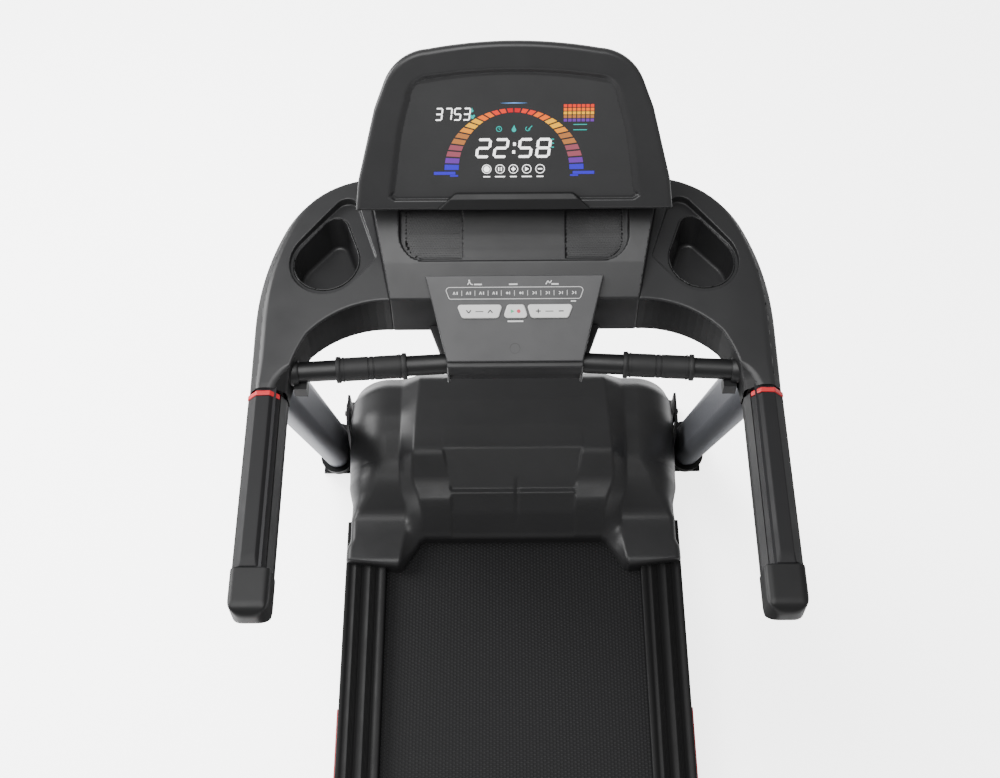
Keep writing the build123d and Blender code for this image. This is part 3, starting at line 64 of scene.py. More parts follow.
class Shader:
    """A node material with one Principled surface, built up a socket at a time."""

    def __init__(self, name, colour, roughness, **sockets):
        self.material = bpy.data.materials.new(name)
        self.material.use_nodes = True
        self.nodes = self.material.node_tree.nodes
        self.links = self.material.node_tree.links
        self.surface = self.nodes["Principled BSDF"]
        self.set("Base Color", (*colour, 1))
        self.set("Roughness", roughness)
        for socket, value in sockets.items():
            self.set(socket.replace("_", " "), value)
        self.material.diffuse_color = (*colour, 1)
        self.place = self.nodes.new("ShaderNodeTexCoord").outputs["Object"]

    def set(self, socket, value):
        """Set a surface socket to a number or colour, or link it to an output."""
        target = self.surface.inputs[socket]
        if isinstance(value, bpy.types.NodeSocket):
            self.links.new(value, target)
        else:
            target.default_value = value

    def node(self, kind, settings=None, **inputs):
        """Add a node; an input is named by its socket, with _ for a space, or i and a number."""
        made = self.nodes.new(kind)
        for name, value in (settings or {}).items():
            setattr(made, name, value)
        for name, value in inputs.items():
            numbered = name[0] == "i" and name[1:].isdigit()
            socket = made.inputs[int(name[1:]) if numbered else name.replace("_", " ")]
            if isinstance(value, bpy.types.NodeSocket):
                self.links.new(value, socket)
            else:
                socket.default_value = value
        return made

    def math(self, operation, a, b=0.0):
        """One step of arithmetic."""
        return self.node("ShaderNodeMath", {"operation": operation}, i0=a, i1=b).outputs[0]

    def noise(self, scale, detail=3.0, stretch=(1, 1, 1)):
        """Noise of a given scale per metre, stretched along the axes."""
        place = self.node("ShaderNodeVectorMath", {"operation": "MULTIPLY"}, i0=self.place,
                          i1=stretch).outputs[0]
        return self.node("ShaderNodeTexNoise", Vector=place, Scale=scale,
                         Detail=detail).outputs["Fac"]

    def between(self, factor, low, high):
        """Map a 0-1 factor on to a range."""
        return self.node("ShaderNodeMapRange", Value=factor, From_Min=0.25, From_Max=0.75,
                         To_Min=low, To_Max=high).outputs["Result"]

    def mix(self, factor, a, b):
        """Mix two colours, either of which may be another node's output."""
        a, b = [c if isinstance(c, bpy.types.NodeSocket) else (*c, 1) for c in (a, b)]
        return self.node("ShaderNodeMix", {"data_type": "RGBA"}, i0=factor, i6=a,
                         i7=b).outputs[2]

    def bump(self, height, distance, strength):
        """A bump of a height output, distance in metres."""
        made = self.node("ShaderNodeBump", Strength=strength, Distance=distance, Height=height)
        self.set("Normal", made.outputs["Normal"])


def shaded(colour, share):
    """A colour made lighter or darker."""
    return tuple(min(1.0, c * share) for c in colour)


def moulded(name, colour, roughness=0.42, grain=900.0, depth=0.00006, **sockets):
    """Injection-moulded plastic: fine leather grain, slight blotches, dull handled patches."""
    shader = Shader(name, colour, roughness, **sockets)
    blotch = shader.noise(7.0, 4.0)
    shader.set("Base Color", shader.mix(blotch, shaded(colour, 0.86), shaded(colour, 1.14)))
    shader.set("Roughness", shader.between(shader.noise(23.0, 5.0), roughness - 0.05,
                                           roughness + 0.06))
    shader.bump(shader.noise(grain, 2.0), depth, 0.5)
    return shader.material


def metal(name, colour, roughness=0.3, metallic=1.0, stretch=(1, 1, 1), grain=350.0,
          depth=0.00003, **sockets):
    """Metal with drawn or turned marks along the axis that stretch squeezes."""
    shader = Shader(name, colour, roughness, Metallic=metallic, **sockets)
    marks = shader.noise(grain, 4.0, stretch)
    shader.set("Base Color", shader.mix(marks, shaded(colour, 0.88), shaded(colour, 1.1)))
    shader.set("Roughness", shader.between(marks, roughness - 0.06, roughness + 0.08))
    shader.bump(marks, depth, 0.5)
    return shader.material


def light(name, colour, strength):
    """A lit mark behind the display window, slightly uneven like a real segment."""
    shader = Shader(name, shaded(colour, 0.6), 0.5, Emission_Strength=strength)
    glow = shader.noise(160.0, 2.0)
    shader.set("Emission Color", shader.mix(glow, shaded(colour, 0.9), colour))
    return shader.material


def belt_weave(name, colour, pitch):
    """A running belt's raised hexagonal weave, the tops of its knobs painted lighter as a painted
    highlight, more so in streaks along the belt.
    """
    shader = Shader(name, colour, 0.62, Specular_IOR_Level=0.35)
    turn = 2 * pi / (pitch * MM)
    waves = []
    for angle in (0, 60, 120):
        along = (cos(radians(angle)) * turn, sin(radians(angle)) * turn, 0)
        dot = shader.node("ShaderNodeVectorMath", {"operation": "DOT_PRODUCT"}, i0=shader.place,
                          i1=along).outputs["Value"]
        waves.append(shader.math("COSINE", dot))
    total = shader.math("ADD", shader.math("ADD", waves[0], waves[1]), waves[2])
    knob = shader.node("ShaderNodeMapRange", {"interpolation_type": "SMOOTHSTEP"}, Value=total,
                       From_Min=-0.4, From_Max=1.9).outputs["Result"]
    # Painted highlight: the knobs' tops are coloured lighter than the valleys, by an amount that varies
    # in streaks along the belt.
    highlight_streaks = shader.noise(3.0, 3.0, (1, 0.25, 1))
    painted_knob_highlight = shader.mix(highlight_streaks, shaded(colour, 2.4), shaded(colour, 3.6))
    shader.set("Base Color", shader.mix(knob, colour, painted_knob_highlight))
    shader.bump(knob, 0.0009, 0.8)
    return shader.material


def timber(name, colour):
    """Dense fibre board with a waxed skin."""
    shader = Shader(name, colour, 0.5)
    fibre = shader.noise(420.0, 4.0, (1, 0.12, 1))
    shader.set("Base Color", shader.mix(fibre, shaded(colour, 0.75), shaded(colour, 1.2)))
    shader.bump(fibre, 0.0001, 0.5)
    return shader.material


SHELL = moulded("satin_shell", (0.030, 0.030, 0.031), 0.36, Specular_IOR_Level=0.42)
ARM_TOP = moulded("handrail_plastic", (0.018, 0.018, 0.019), 0.52, Specular_IOR_Level=0.25)
DARK = moulded("dark_plastic", (0.012, 0.012, 0.0125), 0.46, Specular_IOR_Level=0.35)
RAIL = moulded("rail_plastic", (0.006, 0.006, 0.0063), 0.54, grain=500.0, depth=0.0001,
               Specular_IOR_Level=0.3)
RIB = moulded("rail_strip", (0.0055, 0.0055, 0.0057), 0.68, grain=700.0, depth=0.00015,
              Specular_IOR_Level=0.15)
PANEL = moulded("panel_film", (0.052, 0.052, 0.054), 0.40, grain=1500.0, depth=0.00003)
GLASS = moulded("display_window", (0.036, 0.036, 0.037), 0.45, grain=2500.0, depth=0.00001)
KEY_WHITE = moulded("key_white", (0.82, 0.82, 0.81), 0.35, grain=1500.0, depth=0.00002)
RED = moulded("red_gloss", (0.78, 0.035, 0.045), 0.28, grain=1200.0, depth=0.00002)
BAR_PAINT = moulded("bar_paint", (0.009, 0.009, 0.0095), 0.42, grain=1200.0, depth=0.00003)
RUBBER = moulded("soft_rubber", (0.018, 0.018, 0.019), 0.68, grain=600.0, depth=0.00012)
GRIP = moulded("grip_rubber", (0.013, 0.013, 0.0135), 0.62, grain=450.0, depth=0.00035)
BELT = belt_weave("belt_weave", (0.0055, 0.0055, 0.006), 6.4)
SILVER = metal("column_silver", (0.17, 0.175, 0.195), 0.44, 0.7, (1, 1, 0.1), 900.0)
BLACK_STEEL = metal("black_steel", (0.022, 0.022, 0.024), 0.42, 0.3, grain=700.0,
                    depth=0.00008)
STEEL = metal("turned_steel", (0.56, 0.56, 0.57), 0.28, 1.0, (0.08, 1, 1))
CASTING = metal("motor_casing", (0.10, 0.10, 0.105), 0.5, 0.4, grain=300.0, depth=0.0003)
ALLOY = metal("heat_sink_alloy", (0.55, 0.55, 0.56), 0.38, 1.0, (0.1, 1, 1))
BOARD = timber("fibre_board", (0.23, 0.16, 0.10))
GREEN = moulded("circuit_green", (0.03, 0.16, 0.07), 0.4, grain=300.0, depth=0.0001)

CAD_LOOKS = {
    BLACK_STEEL: ["base_frame", "belly_pan", "deck_cross_members", "deck_side_members",
                  "lift_cradle", "pivot_brackets", "strut_cylinder", "arm_tubes"],
    RUBBER: ["base_pads", "deck_cushions", "drive_belt"],
    SILVER: ["columns"],
    DARK: ["foot_cups", "power_inlet", "speaker_drivers", "rear_end_caps",
           "side_rail_left", "side_rail_right", "cup_holder_left", "cup_holder_right",
           "shoulder_underside_left", "shoulder_underside_right", "arm_end_caps"],
    BOARD: ["deck_board"],
    GREEN: ["display_board"],
    CASTING: ["drive_motor", "lift_motor"],
    STEEL: ["front_roller", "rear_roller", "lift_screw", "motor_rotor", "roller_axles",
            "roller_bearings", "strut_rod"],
    ALLOY: ["motor_controller"],
    BELT: ["running_belt"],
    RED: ["arm_rings", "power_switch", "side_trims"],
    SHELL: ["arm_shell_left", "arm_shell_right", "shoulder_shell_left", "shoulder_shell_right",
            "console_tray", "console_rear_cover", "display_bezel", "keypad_housing",
            "motor_hood", "crossbar", "speaker_grilles"],
    PANEL: ["keypad_overlay"],
    GLASS: ["display_lens"],
    KEY_WHITE: ["incline_key", "start_stop_key", "speed_key"],
    GRIP: ["bar_grips", "front_wheel_left", "front_wheel_right", "rear_wheel_left",
           "rear_wheel_right"],
}
for look, names in CAD_LOOKS.items():
    for name in names:
        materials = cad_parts[name].data.materials
        materials.clear()
        materials.append(look)


# ---- mesh helpers

def piece(name, points, faces, body, look, replaces=(), smooth=True, angle=None):
    """A mesh object in the frame, from points in millimetres."""
    mesh = bpy.data.meshes.new(name)
    mesh.from_pydata((np.asarray(points, float) * MM).tolist(), [], faces)
    mesh.materials.append(look)
    made = bpy.data.objects.new(name, mesh)
    bpy.context.scene.collection.objects.link(made)
    if smooth:
        mesh.shade_smooth()
        if angle:
            mesh.set_sharp_from_angle(angle=radians(angle))
    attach(made, body)
    if replaces:
        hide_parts(*replaces)
    return made


def arc(start, middle, end, count=12):
    """Points along the circle through three points, without the last one."""
    (ax, ay), (bx, by), (cx, cy) = start, middle, end
    d = 2 * (ax * (by - cy) + bx * (cy - ay) + cx * (ay - by))
    sa, sb, sc = ax * ax + ay * ay, bx * bx + by * by, cx * cx + cy * cy
    ux = (sa * (by - cy) + sb * (cy - ay) + sc * (ay - by)) / d
    uy = (sa * (cx - bx) + sb * (ax - cx) + sc * (bx - ax)) / d
    angles = [atan2(y - uy, x - ux) for x, y in (start, middle, end)]
    turn = (angles[2] - angles[0]) % (2 * pi)
    if (angles[1] - angles[0]) % (2 * pi) > turn:
        turn -= 2 * pi
    radius = hypot(ax - ux, ay - uy)
    steps = [angles[0] + turn * i / count for i in range(count)]
    return [(ux + radius * cos(t), uy + radius * sin(t)) for t in steps]


# ---- moulding from distance fields
# A field gives the distance from points to a form's skin, negative inside it.

def both(a, b, r=0.0):
    """Where two forms overlap, its ridge rounded to radius r."""
    corner = np.hypot(np.maximum(a + r, 0), np.maximum(b + r, 0))
    return np.minimum(np.maximum(a, b), -r) + corner


def either(a, b, r=0.0):
    """Two forms joined, with a fillet of radius r in the corner between them."""
    return -both(-a, -b, r)


def without(a, b, r=0.0):
    """The first form cut by the second, the rim rounded to radius r."""
    return both(a, -b, r)


def outline(points):
    """Distance in a plane to a closed outline."""
    starts = np.array(points, float)
    ends = np.roll(starts, -1, axis=0)

    def field(u, v):
        u, v = np.broadcast_arrays(u, v)
        best = np.full(u.shape, np.inf)
        inside = np.zeros(u.shape, bool)
        for (x0, y0), (x1, y1) in zip(starts, ends):
            ex, ey = x1 - x0, y1 - y0
            wx, wy = u - x0, v - y0
            t = np.clip((wx * ex + wy * ey) / (ex * ex + ey * ey), 0, 1)
            best = np.minimum(best, (wx - t * ex) ** 2 + (wy - t * ey) ** 2)
            if ey != 0:
                inside ^= ((y0 <= v) != (y1 <= v)) & (wx < wy * ex / ey)
        return np.where(inside, -1, 1) * np.sqrt(best)

    return field


def around(discs, count=40):
    """The outline drawn tight round some discs, each (x, y, radius)."""
    spots = sorted((x + r * cos(2 * pi * i / count), y + r * sin(2 * pi * i / count))
                   for x, y, r in discs for i in range(count))
    loop = []
    for run in (spots, spots[::-1]):
        chain = []
        for spot in run:
            while len(chain) > 1 and (chain[-1][0] - chain[-2][0]) * (spot[1] - chain[-2][1]) \
                    <= (chain[-1][1] - chain[-2][1]) * (spot[0] - chain[-2][0]):
                chain.pop()
            chain.append(spot)
        loop += chain[:-1]
    return loop


def slab(value, low, high):
    """Distance to the space between two values."""
    return np.maximum(low - value, value - high)


def soft_line(points, width):
    """A height that runs straight between points, its kinks eased over a width."""
    along, heights = np.array(points, float).T
    steps = np.linspace(-width, width, 9)

    def height(value):
        return sum(np.interp(value + step, along, heights) for step in steps) / len(steps)

    return height


class Slope:
    """A plane leaning back by an angle, with s up the slope and h out of it."""

    def __init__(self, y, z, angle):
        self.y, self.z = y, z
        self.c, self.s = cos(radians(angle)), sin(radians(angle))

    def local(self, y, z):
        dy, dz = y - self.y, z - self.z
        return dy * self.c + dz * self.s, dz * self.c - dy * self.s

    def world(self, x, s, h):
        return (x, self.y + s * self.c - h * self.s, self.z + s * self.s + h * self.c)


def steepest(field, points, reach):
    """A field and its gradient at points, by differences over a short reach."""
    value = field(*points.T)
    gradient = np.empty_like(points)
    for axis in range(3):
        shift = np.zeros(3)
        shift[axis] = reach
        gradient[:, axis] = (field(*(points + shift).T) - value) / reach
    return value, gradient


def pointing(field, points, reach):
    """The way out of a field at points, by central differences."""
    gradient = np.empty_like(points)
    for axis in range(3):
        shift = np.zeros(3)
        shift[axis] = reach
        gradient[:, axis] = field(*(points + shift).T) - field(*(points - shift).T)
    return gradient / np.maximum(np.linalg.norm(gradient, axis=1), 1e-6)[:, None]


def mould(name, field, low, high, step, body, look, replaces=()):
    """A closed skin at a field's zero: one point in each cell the skin crosses."""
    axes = [np.arange(a - 1.5 * step, b + 2.5 * step, step) for a, b in zip(low, high)]
    grid = np.meshgrid(*axes, indexing="ij", sparse=True)
    values = np.array(np.broadcast_to(field(*grid), [len(a) for a in axes]))
    solid = values < 0
    cells = [n - 1 for n in solid.shape]
    full = sum(solid[i:i + cells[0], j:j + cells[1], k:k + cells[2]].astype(np.int8)
               for i, j, k in product((0, 1), repeat=3))
    mixed = np.argwhere((full > 0) & (full < 8))
    number = np.full(cells, -1)
    number[tuple(mixed.T)] = np.arange(len(mixed))
    total, hits = np.zeros((len(mixed), 3)), np.zeros((len(mixed), 1))
    for axis in range(3):
        for i, j in product((0, 1), repeat=2):
            start = mixed + np.insert([i, j], axis, 0)
            end = start + np.eye(3, dtype=int)[axis]
            a, b = values[tuple(start.T)], values[tuple(end.T)]
            crossed = (a < 0) != (b < 0)
            share = (a[crossed] / (a[crossed] - b[crossed]))[:, None]
            total[crossed] += start[crossed] + share * np.eye(3)[axis]
            hits[crossed] += 1
    points = total / hits * step + np.array([a[0] for a in axes])
    for _ in range(2):
        value, gradient = steepest(field, points, 0.1 * step)
        size = np.maximum((gradient ** 2).sum(1), 0.2)
        move = -(value / size)[:, None] * gradient
        points += np.clip(move, -0.4 * step, 0.4 * step)
    faces = []
    for axis in range(3):
        u, v = [a for a in range(3) if a != axis]
        here = np.take(solid, range(cells[axis]), axis)
        there = np.take(solid, range(1, cells[axis] + 1), axis)
        edges = np.argwhere(here != there)
        kept = (edges[:, u] > 0) & (edges[:, v] > 0)
        kept &= (edges[:, u] < cells[u]) & (edges[:, v] < cells[v])
        edges = edges[kept]
        unit = np.eye(3, dtype=int)
        near = [edges - i * unit[u] - j * unit[v] for i, j in ((0, 0), (1, 0), (1, 1), (0, 1))]
        quads = np.stack([number[tuple(cell.T)] for cell in near], 1)
        outward = solid[tuple(edges.T)] ^ (axis == 1)
        faces += np.where(outward[:, None], quads, quads[:, ::-1]).tolist()
    made = piece(name, points, faces, body, look, replaces)
    made.data.normals_split_custom_set_from_vertices(pointing(field, points, 0.3 * step).tolist())
    return made


# ---- motor hood

def over(height, x, y, z):
    """Distance above a surface given as a height over x and y."""
    step = 1.0
    rise_x = (height(x + step, y) - height(x - step, y)) / (2 * step)
    rise_y = (height(x, y + step) - height(x, y - step)) / (2 * step)
    return (z - height(x, y)) / np.sqrt(1 + rise_x ** 2 + rise_y ** 2)


def ease(value, low, high, width):
    """A 0-1 ramp between two values whose two kinks are rounded over a width."""
    steps = np.linspace(-width, width, 7)
    return sum(np.clip((value + step - low) / (high - low), 0, 1) for step in steps) / len(steps)


HOOD_LOW, HOOD_HIGH = corners("motor_hood")
HOOD_WALL = 6.5
PAD_LINE = soft_line([(380, 164), (450, 167), (466, 178), (514, 247), (551, 262), (562, 270),
                      (604, 302), (660, 307), (720, 308), (775, 303), (812, 262), (840, 225)], 9)
SCOOP_LINE = soft_line([(380, 160), (440, 164), (470, 182), (500, 226), (532, 257), (537, 253),
                        (610, 303), (660, 307), (720, 308), (775, 303), (812, 262), (840, 225)], 4)
SIDE_LINE = soft_line([(380, 189), (425, 194), (480, 197), (506, 202), (534, 228), (560, 247),
                       (600, 268), (650, 284), (700, 291), (765, 285), (805, 250), (840, 215)], 11)
BAND_EDGE = soft_line([(380, 222), (400, 219), (464, 184), (500, 186), (528, 193), (550, 203),
                       (565, 205), (773, 192)], 6)
SIDE_EDGE = soft_line([(380, 233), (400, 231), (464, 222), (522, 219), (542, 230), (773, 231)], 6)
SCOOP_EDGE = soft_line([(534, 125), (610, 142)], 3)
WAIST = soft_line([(400, 340), (440, 339), (456, 332), (540, 332), (575, 340)], 5)
MOUTH = outline([(-400, 300), (400, 300), (400, 412), (340, 412), (234, 399), (224, 404),
                 (190, 459), (180, 465), (-180, 465), (-190, 459), (-224, 404), (-234, 399),
                 (-340, 412), (-400, 412)])


def hood_height(x, y):
    """Height of the hood's top: a band between two shoulders that end in flat feet."""
    across = np.abs(x)
    scoop = ease(-across, -SCOOP_EDGE(y) - 2.5, -SCOOP_EDGE(y) + 2.5, 1)
    band = PAD_LINE(y) * (1 - scoop) + SCOOP_LINE(y) * scoop
    fold = np.clip(1 - np.abs(x - 8) / 7, 0, 1) * np.clip(1 - np.abs(y - 520) / 40, 0, 1)
    band = band - 3 * fold
    side = ease(across, BAND_EDGE(y), SIDE_EDGE(y), 3)
    return band * (1 - side) + SIDE_LINE(y) * side


def hood_skin(x, y, z):
    """Outer form of the motor hood."""
    ends = slab(y, HOOD_LOW.y, HOOD_HIGH.y)
    rounding = np.interp(y, [500, 545, 600], [13, 50, 84])
    form = both(over(hood_height, x, y, z), np.abs(x) - WAIST(y), rounding)
    return without(both(form, ends, 22), MOUTH(x, y), 5)


def hood(x, y, z):
    outer = hood_skin(x, y, z)
    return both(np.maximum(outer, -(outer + HOOD_WALL)), HOOD_LOW.z - z)


mould("hood_cover", hood, HOOD_LOW, HOOD_HIGH, 3.0, "deck", SHELL,
      ["motor_hood"])

# ---- side rails

def prism(name, sections, body, look, replaces=(), angle=35):
    """Flat end faces joined by straight walls, each ring of points given whole."""
    rings = [np.array(section, float) for section in sections]
    count = len(rings[0])
    faces = [tuple(range(count))[::-1],
             tuple(range((len(rings) - 1) * count, len(rings) * count))]
    for ring in range(len(rings) - 1):
        for i in range(count):
            j = (i + 1) % count
            start = ring * count
            faces.append((start + i, start + j, start + count + j, start + count + i))
    made = piece(name, np.concatenate(rings), faces, body, look, replaces, angle=angle)
    outward(made.data)
    return made


def outward(mesh):
    """Turn a mesh's faces to point out of it."""
    work = bmesh.new()
    work.from_mesh(mesh)
    bmesh.ops.recalc_face_normals(work, faces=work.faces)
    work.to_mesh(mesh)
    work.free()


RAIL_PROFILE = [(257, 158), (257, 173), (258, 175.2), (260.5, 176), (268, 176), (269.5, 174.6),
                (275, 174.6), (276.5, 176), (292, 176), (293.5, 174.6), (304, 174.6),
                (305.5, 176), (321, 176), (322.5, 174.6), (330, 174.6), (331.5, 176),
                (337, 176), (339.2, 175.2), (340, 173), (340, 126), (336, 126), (336, 168),
                (266, 168), (266, 158)]
RIBS = [(278, 290.5), (306.8, 319.5)]
for side_name, side in SIDES.items():
    rail_low, rail_high = corners(f"side_rail_{side_name}")
    prism(f"rail_cover_{side_name}",
          [[(side * x, y, z) for x, z in RAIL_PROFILE] for y in (rail_low.y, rail_high.y)],
          "deck", RAIL, [f"side_rail_{side_name}"], angle=50)
    for number, (inner, outer) in enumerate(RIBS, 1):
        rib = [(inner, 175.8), (inner + 0.5, 177.0), (inner + 1.6, 177.5)]
        grooves = np.linspace(inner + 2.5, outer - 2.5, 4)
        for groove in grooves:
            rib += [(groove - 0.6, 177.5), (groove, 176.9), (groove + 0.6, 177.5)]
        rib += [(outer - 1.6, 177.5), (outer - 0.5, 177.0), (outer, 175.8)]
        prism(f"grip_strip_{side_name}_{number}",
              [[(side * x, y, z) for x, z in rib] for y in (rail_low.y + 6, 470)],
              "deck", RIB)

# ---- handrails

ARM_X, ARM_BASE, ARM_CROWN = 377.0, 943.0, 1003.0
RING_FRONT, RING_BACK, CAP_FRONT = 313.5, 321.5, 34.0
ARM_SHADE_SPLIT = 357.0          # the inner bevel and side are a separate part in the darker plastic, painted shade for the handrail's inner side
ARM_SECTION = [(348.5, 952), (357.5, ARM_BASE), (396.5, ARM_BASE), (405.5, 952), (405.5, 986),
               (391, ARM_CROWN - 1), (371, ARM_CROWN), (356, 988), (348.5, 972)]
ARM_FORM = outline(ARM_SECTION)


def arm_form(x, z, grow=0.0):
    """Distance to a handrail's cross-section with its ridges slightly rounded."""
    return ARM_FORM(np.abs(x), z) - grow


def arm(x, y, z):
    """A handrail's top and outer side, its pad ending in a short bevel."""
    sides = arm_form(x, z)
    pad_end = (50 - y) * 0.18 + (z - ARM_CROWN) * 0.98
    form = both(both(sides, pad_end, 1), slab(y, CAP_FRONT, RING_FRONT), 0.6)
    return both(form, ARM_SHADE_SPLIT - np.abs(x), 0.4)


def arm_inside_painted_shade(x, y, z):
    """A handrail's inner bevel and side, split off to take the darker plastic as painted shade."""
    form = both(arm_form(x, z), slab(y, CAP_FRONT, RING_BACK), 0.6)
    return both(form, np.abs(x) - ARM_SHADE_SPLIT, 0.4)


def ring(x, y, z):
    """The red ring where a handrail meets its shoulder."""
    form = both(arm_form(x, z, 0.9), slab(y, RING_FRONT, RING_BACK), 0.8)
    return both(form, ARM_SHADE_SPLIT + 0.3 - np.abs(x), 0.4)


def end_cap(x, y, z):
    """The smooth wider end of a handrail, lower than its pad and rounded all over."""
    plan = both(np.abs(np.abs(x) - ARM_X) - 30.5, -38.5 - y, 27)
    nose = both(-38.5 - y, z - ARM_CROWN + 3, 22)
    under = both(-38.5 - y, ARM_BASE - 2 - z, 30)
    body = both(np.abs(np.abs(x) - ARM_X) - 30.5, slab(z, ARM_BASE - 2, ARM_CROWN - 3), 13)
    return both(both(both(both(body, plan, 3), nose, 3), under, 2), y - CAP_FRONT, 2.5)


for side_name, side in SIDES.items():
    inner, outer = sorted((side * 345.0, side * 409.0))
    mould(f"handrail_{side_name}", arm, (inner, CAP_FRONT, ARM_BASE), (outer, RING_FRONT, 1004),
          2.5, "root", ARM_TOP, [f"arm_shell_{side_name}"])
    # Painted shade: the inner bevel and side are moulded apart in the darker plastic.
    mould(f"handrail_inside_painted_shade_{side_name}", arm_inside_painted_shade, (inner, CAP_FRONT, ARM_BASE),
          (outer, RING_BACK, 1004), 2.0, "root", DARK)
    mould(f"handrail_ring_{side_name}", ring, (inner, RING_FRONT, ARM_BASE - 1),
          (outer, RING_BACK, 1005), 1.6, "root", RED,
          ["arm_rings"] if side < 0 else ())
    mould(f"handrail_cap_{side_name}", end_cap, (inner, -39, ARM_BASE - 3),
          (outer, CAP_FRONT, 1006), 2.0, "root", DARK,
          ["arm_end_caps"] if side < 0 else ())

# ---- shoulders and drink wells

SHOULDER_BASE, CAP_T = 943.0, 5.0
SEAM = [(258.3, 800), (192, 467)]
OUTER_EDGE = outline([(405.5, 300), (405.5, 440)] + arc((405.5, 440), (395, 533), (365, 617))[1:]
                     + arc((365, 617), (316, 673), (240, 701)) + [(240, 701), (0, 701), (0, 300)])
INNER_EDGE = outline([SEAM[0], SEAM[1]] + arc((192, 467), (265, 454), (319, 416))[1:]
                     + arc((319, 416), (339, 374), (348.5, 330)) + [(348.5, 300), (700, 300),
                                                                    (700, 800)])
ARM_CREASE = soft_line([(325, 371), (343, 364), (356, 354), (364, 342), (372, 320), (420, 150)], 4)
CHAMFER_WIDE = soft_line([(330, 14.5), (370, 17), (420, 17), (610, 15), (660, 12), (700, 12)], 10)
WELL_BODY = (295, 541, 53)
RIM = outline(around([(295, 541, 58), (266, 632, 20), (226, 545, 9)]))
WELL = outline(around([WELL_BODY, (284, 603, 22)]))
WELL_FLOOR = 962.0
WELL_DRAFT = 0.05          # the well narrows this much per millimetre down from its mouth
WELL_MOUTH = 1030.0
CHAMFER_DROP, CROWN_DROP, CROWN_REACH = 16.0, 9.0, 85.0


def shoulder_top(x, y):
    """The shoulder's top rises to the console and rolls over towards its outer edge."""
    across = np.abs(x)
    roll = np.clip(1 + OUTER_EDGE(across, y) / CROWN_REACH, 0, 1) ** 2 * np.clip((y - 335) / 130, 0, 1)
    return 1003 + 0.13 * (y - 330) - 0.049 * (across - ARM_X) - CROWN_DROP * roll


def recess_floor(x, y):
    """Floor of the shallow recess round the drink well, deeper towards the console."""
    depth = 0.7 + 0.09 * (y - 500) + 0.03 * (np.abs(x) - 260)
    return shoulder_top(x, y) - np.maximum(depth, 0.2)


def well_side(across, y, z):
    """Distance to the drink well's side, which narrows on its way down."""
    return WELL(across, y) - np.clip(z - WELL_MOUTH, -80, 0) * WELL_DRAFT


def shoulder(x, y, z):
    """A shoulder from the red ring to the console seam, with its drink recess and well."""
    across = np.abs(x)
    top = over(shoulder_top, x, y, z)
    edge = OUTER_EDGE(across, y)
    wide = CHAMFER_WIDE(y)
    chamfer = (edge * CHAMFER_DROP + (top + CHAMFER_DROP) * wide) / np.hypot(wide, CHAMFER_DROP)
    form = both(both(edge, top, 1), chamfer, 4)
    form = both(form, SHOULDER_BASE - z, 7)
    form = both(form, INNER_EDGE(across, y), 3)
    crease = (ARM_CREASE(y) - across) * 0.62 + top * 0.78
    form = both(form, crease, 4)
    form = both(form, RING_BACK - y, 0.5)
    recess = both(RIM(across, y), -over(recess_floor, x, y, z), 2)
    form = without(form, recess, 1.6)
    return without(form, both(well_side(across, y, z), WELL_FLOOR - 3 - z, 6), 1.2)


def cap_line(x, y, z):
    """Distance above the parting line between a shoulder's cover and its base."""
    under_recess = np.minimum(over(recess_floor, x, y, z), -RIM(np.abs(x), y)) + CAP_T
    return np.maximum(over(shoulder_top, x, y, z) + CAP_T, under_recess)


def shoulder_shell(x, y, z):
    """The shoulder's satin cover, above the parting line."""
    return both(shoulder(x, y, z), -cap_line(x, y, z), 0.8)


def shoulder_base(x, y, z):
    """The shoulder's lower part, hollow below the cover so that only a wall is left."""
    form = shoulder(x, y, z)
    line = cap_line(x, y, z)
    return np.maximum(both(form + 0.5, line - 1.5, 0.5), -np.maximum(form + 6, line + 6))


def cup_liner(x, y, z):
    """A thin cup pressed into the well, with a fine raised lip."""
    across = np.abs(x)
    top = over(recess_floor, x, y, z)
    outer = well_side(across, y, z)
    wall = np.maximum(np.maximum(outer, -(outer + 2.2)), top - 1.1)
    base = np.maximum(outer, z - WELL_FLOOR)
    form = either(wall, base, 5)
    return both(form, WELL_FLOOR - 2.6 - z, 1)


for side_name, side in SIDES.items():
    inner, outer = sorted((side * 190.0, side * 407.0))
    mould(f"shoulder_cover_{side_name}", shoulder_shell, (inner, 329, 990),
          (outer, 709, 1062), 2.0, "root", SHELL,
          [f"shoulder_shell_{side_name}"])
    mould(f"shoulder_base_{side_name}", shoulder_base, (inner, 329, SHOULDER_BASE),
          (outer, 709, 1056), 2.5, "root", DARK,
          [f"shoulder_underside_{side_name}"])
    inner, outer = sorted((side * 240.0, side * 350.0))
    mould(f"drink_cup_{side_name}", cup_liner, (inner, 486, WELL_FLOOR - 3), (outer, 627, 1042),
          1.5, "root", SHELL, [f"cup_holder_{side_name}"])

# ---- turned parts

def turned(name, profile, body, look, start, end, replaces=(), sides=48, angle=40):
    """A solid of revolution: radius against distance along the line from start to end."""
    start, end = Vector(start), Vector(end)
    axis = (end - start).normalized()
    across = axis.cross(Vector((0.0, 0.3, 1.0))).normalized()
    rise = axis.cross(across)
    points, faces = [], []
    for along, radius in profile:
        for i in range(sides):
            turn = 2 * pi * i / sides
            points.append(start + axis * along + (across * cos(turn) + rise * sin(turn)) * radius)
    for ring_index in range(len(profile) - 1):
        for i in range(sides):
            j = (i + 1) % sides
            a, b = ring_index * sides, (ring_index + 1) * sides
            faces.append((a + i, a + j, b + j, b + i))
    faces.append(tuple(range(sides))[::-1])
    faces.append(tuple(range((len(profile) - 1) * sides, len(profile) * sides)))
    made = piece(name, points, faces, body, look, replaces, angle=angle)
    outward(made.data)
    return made


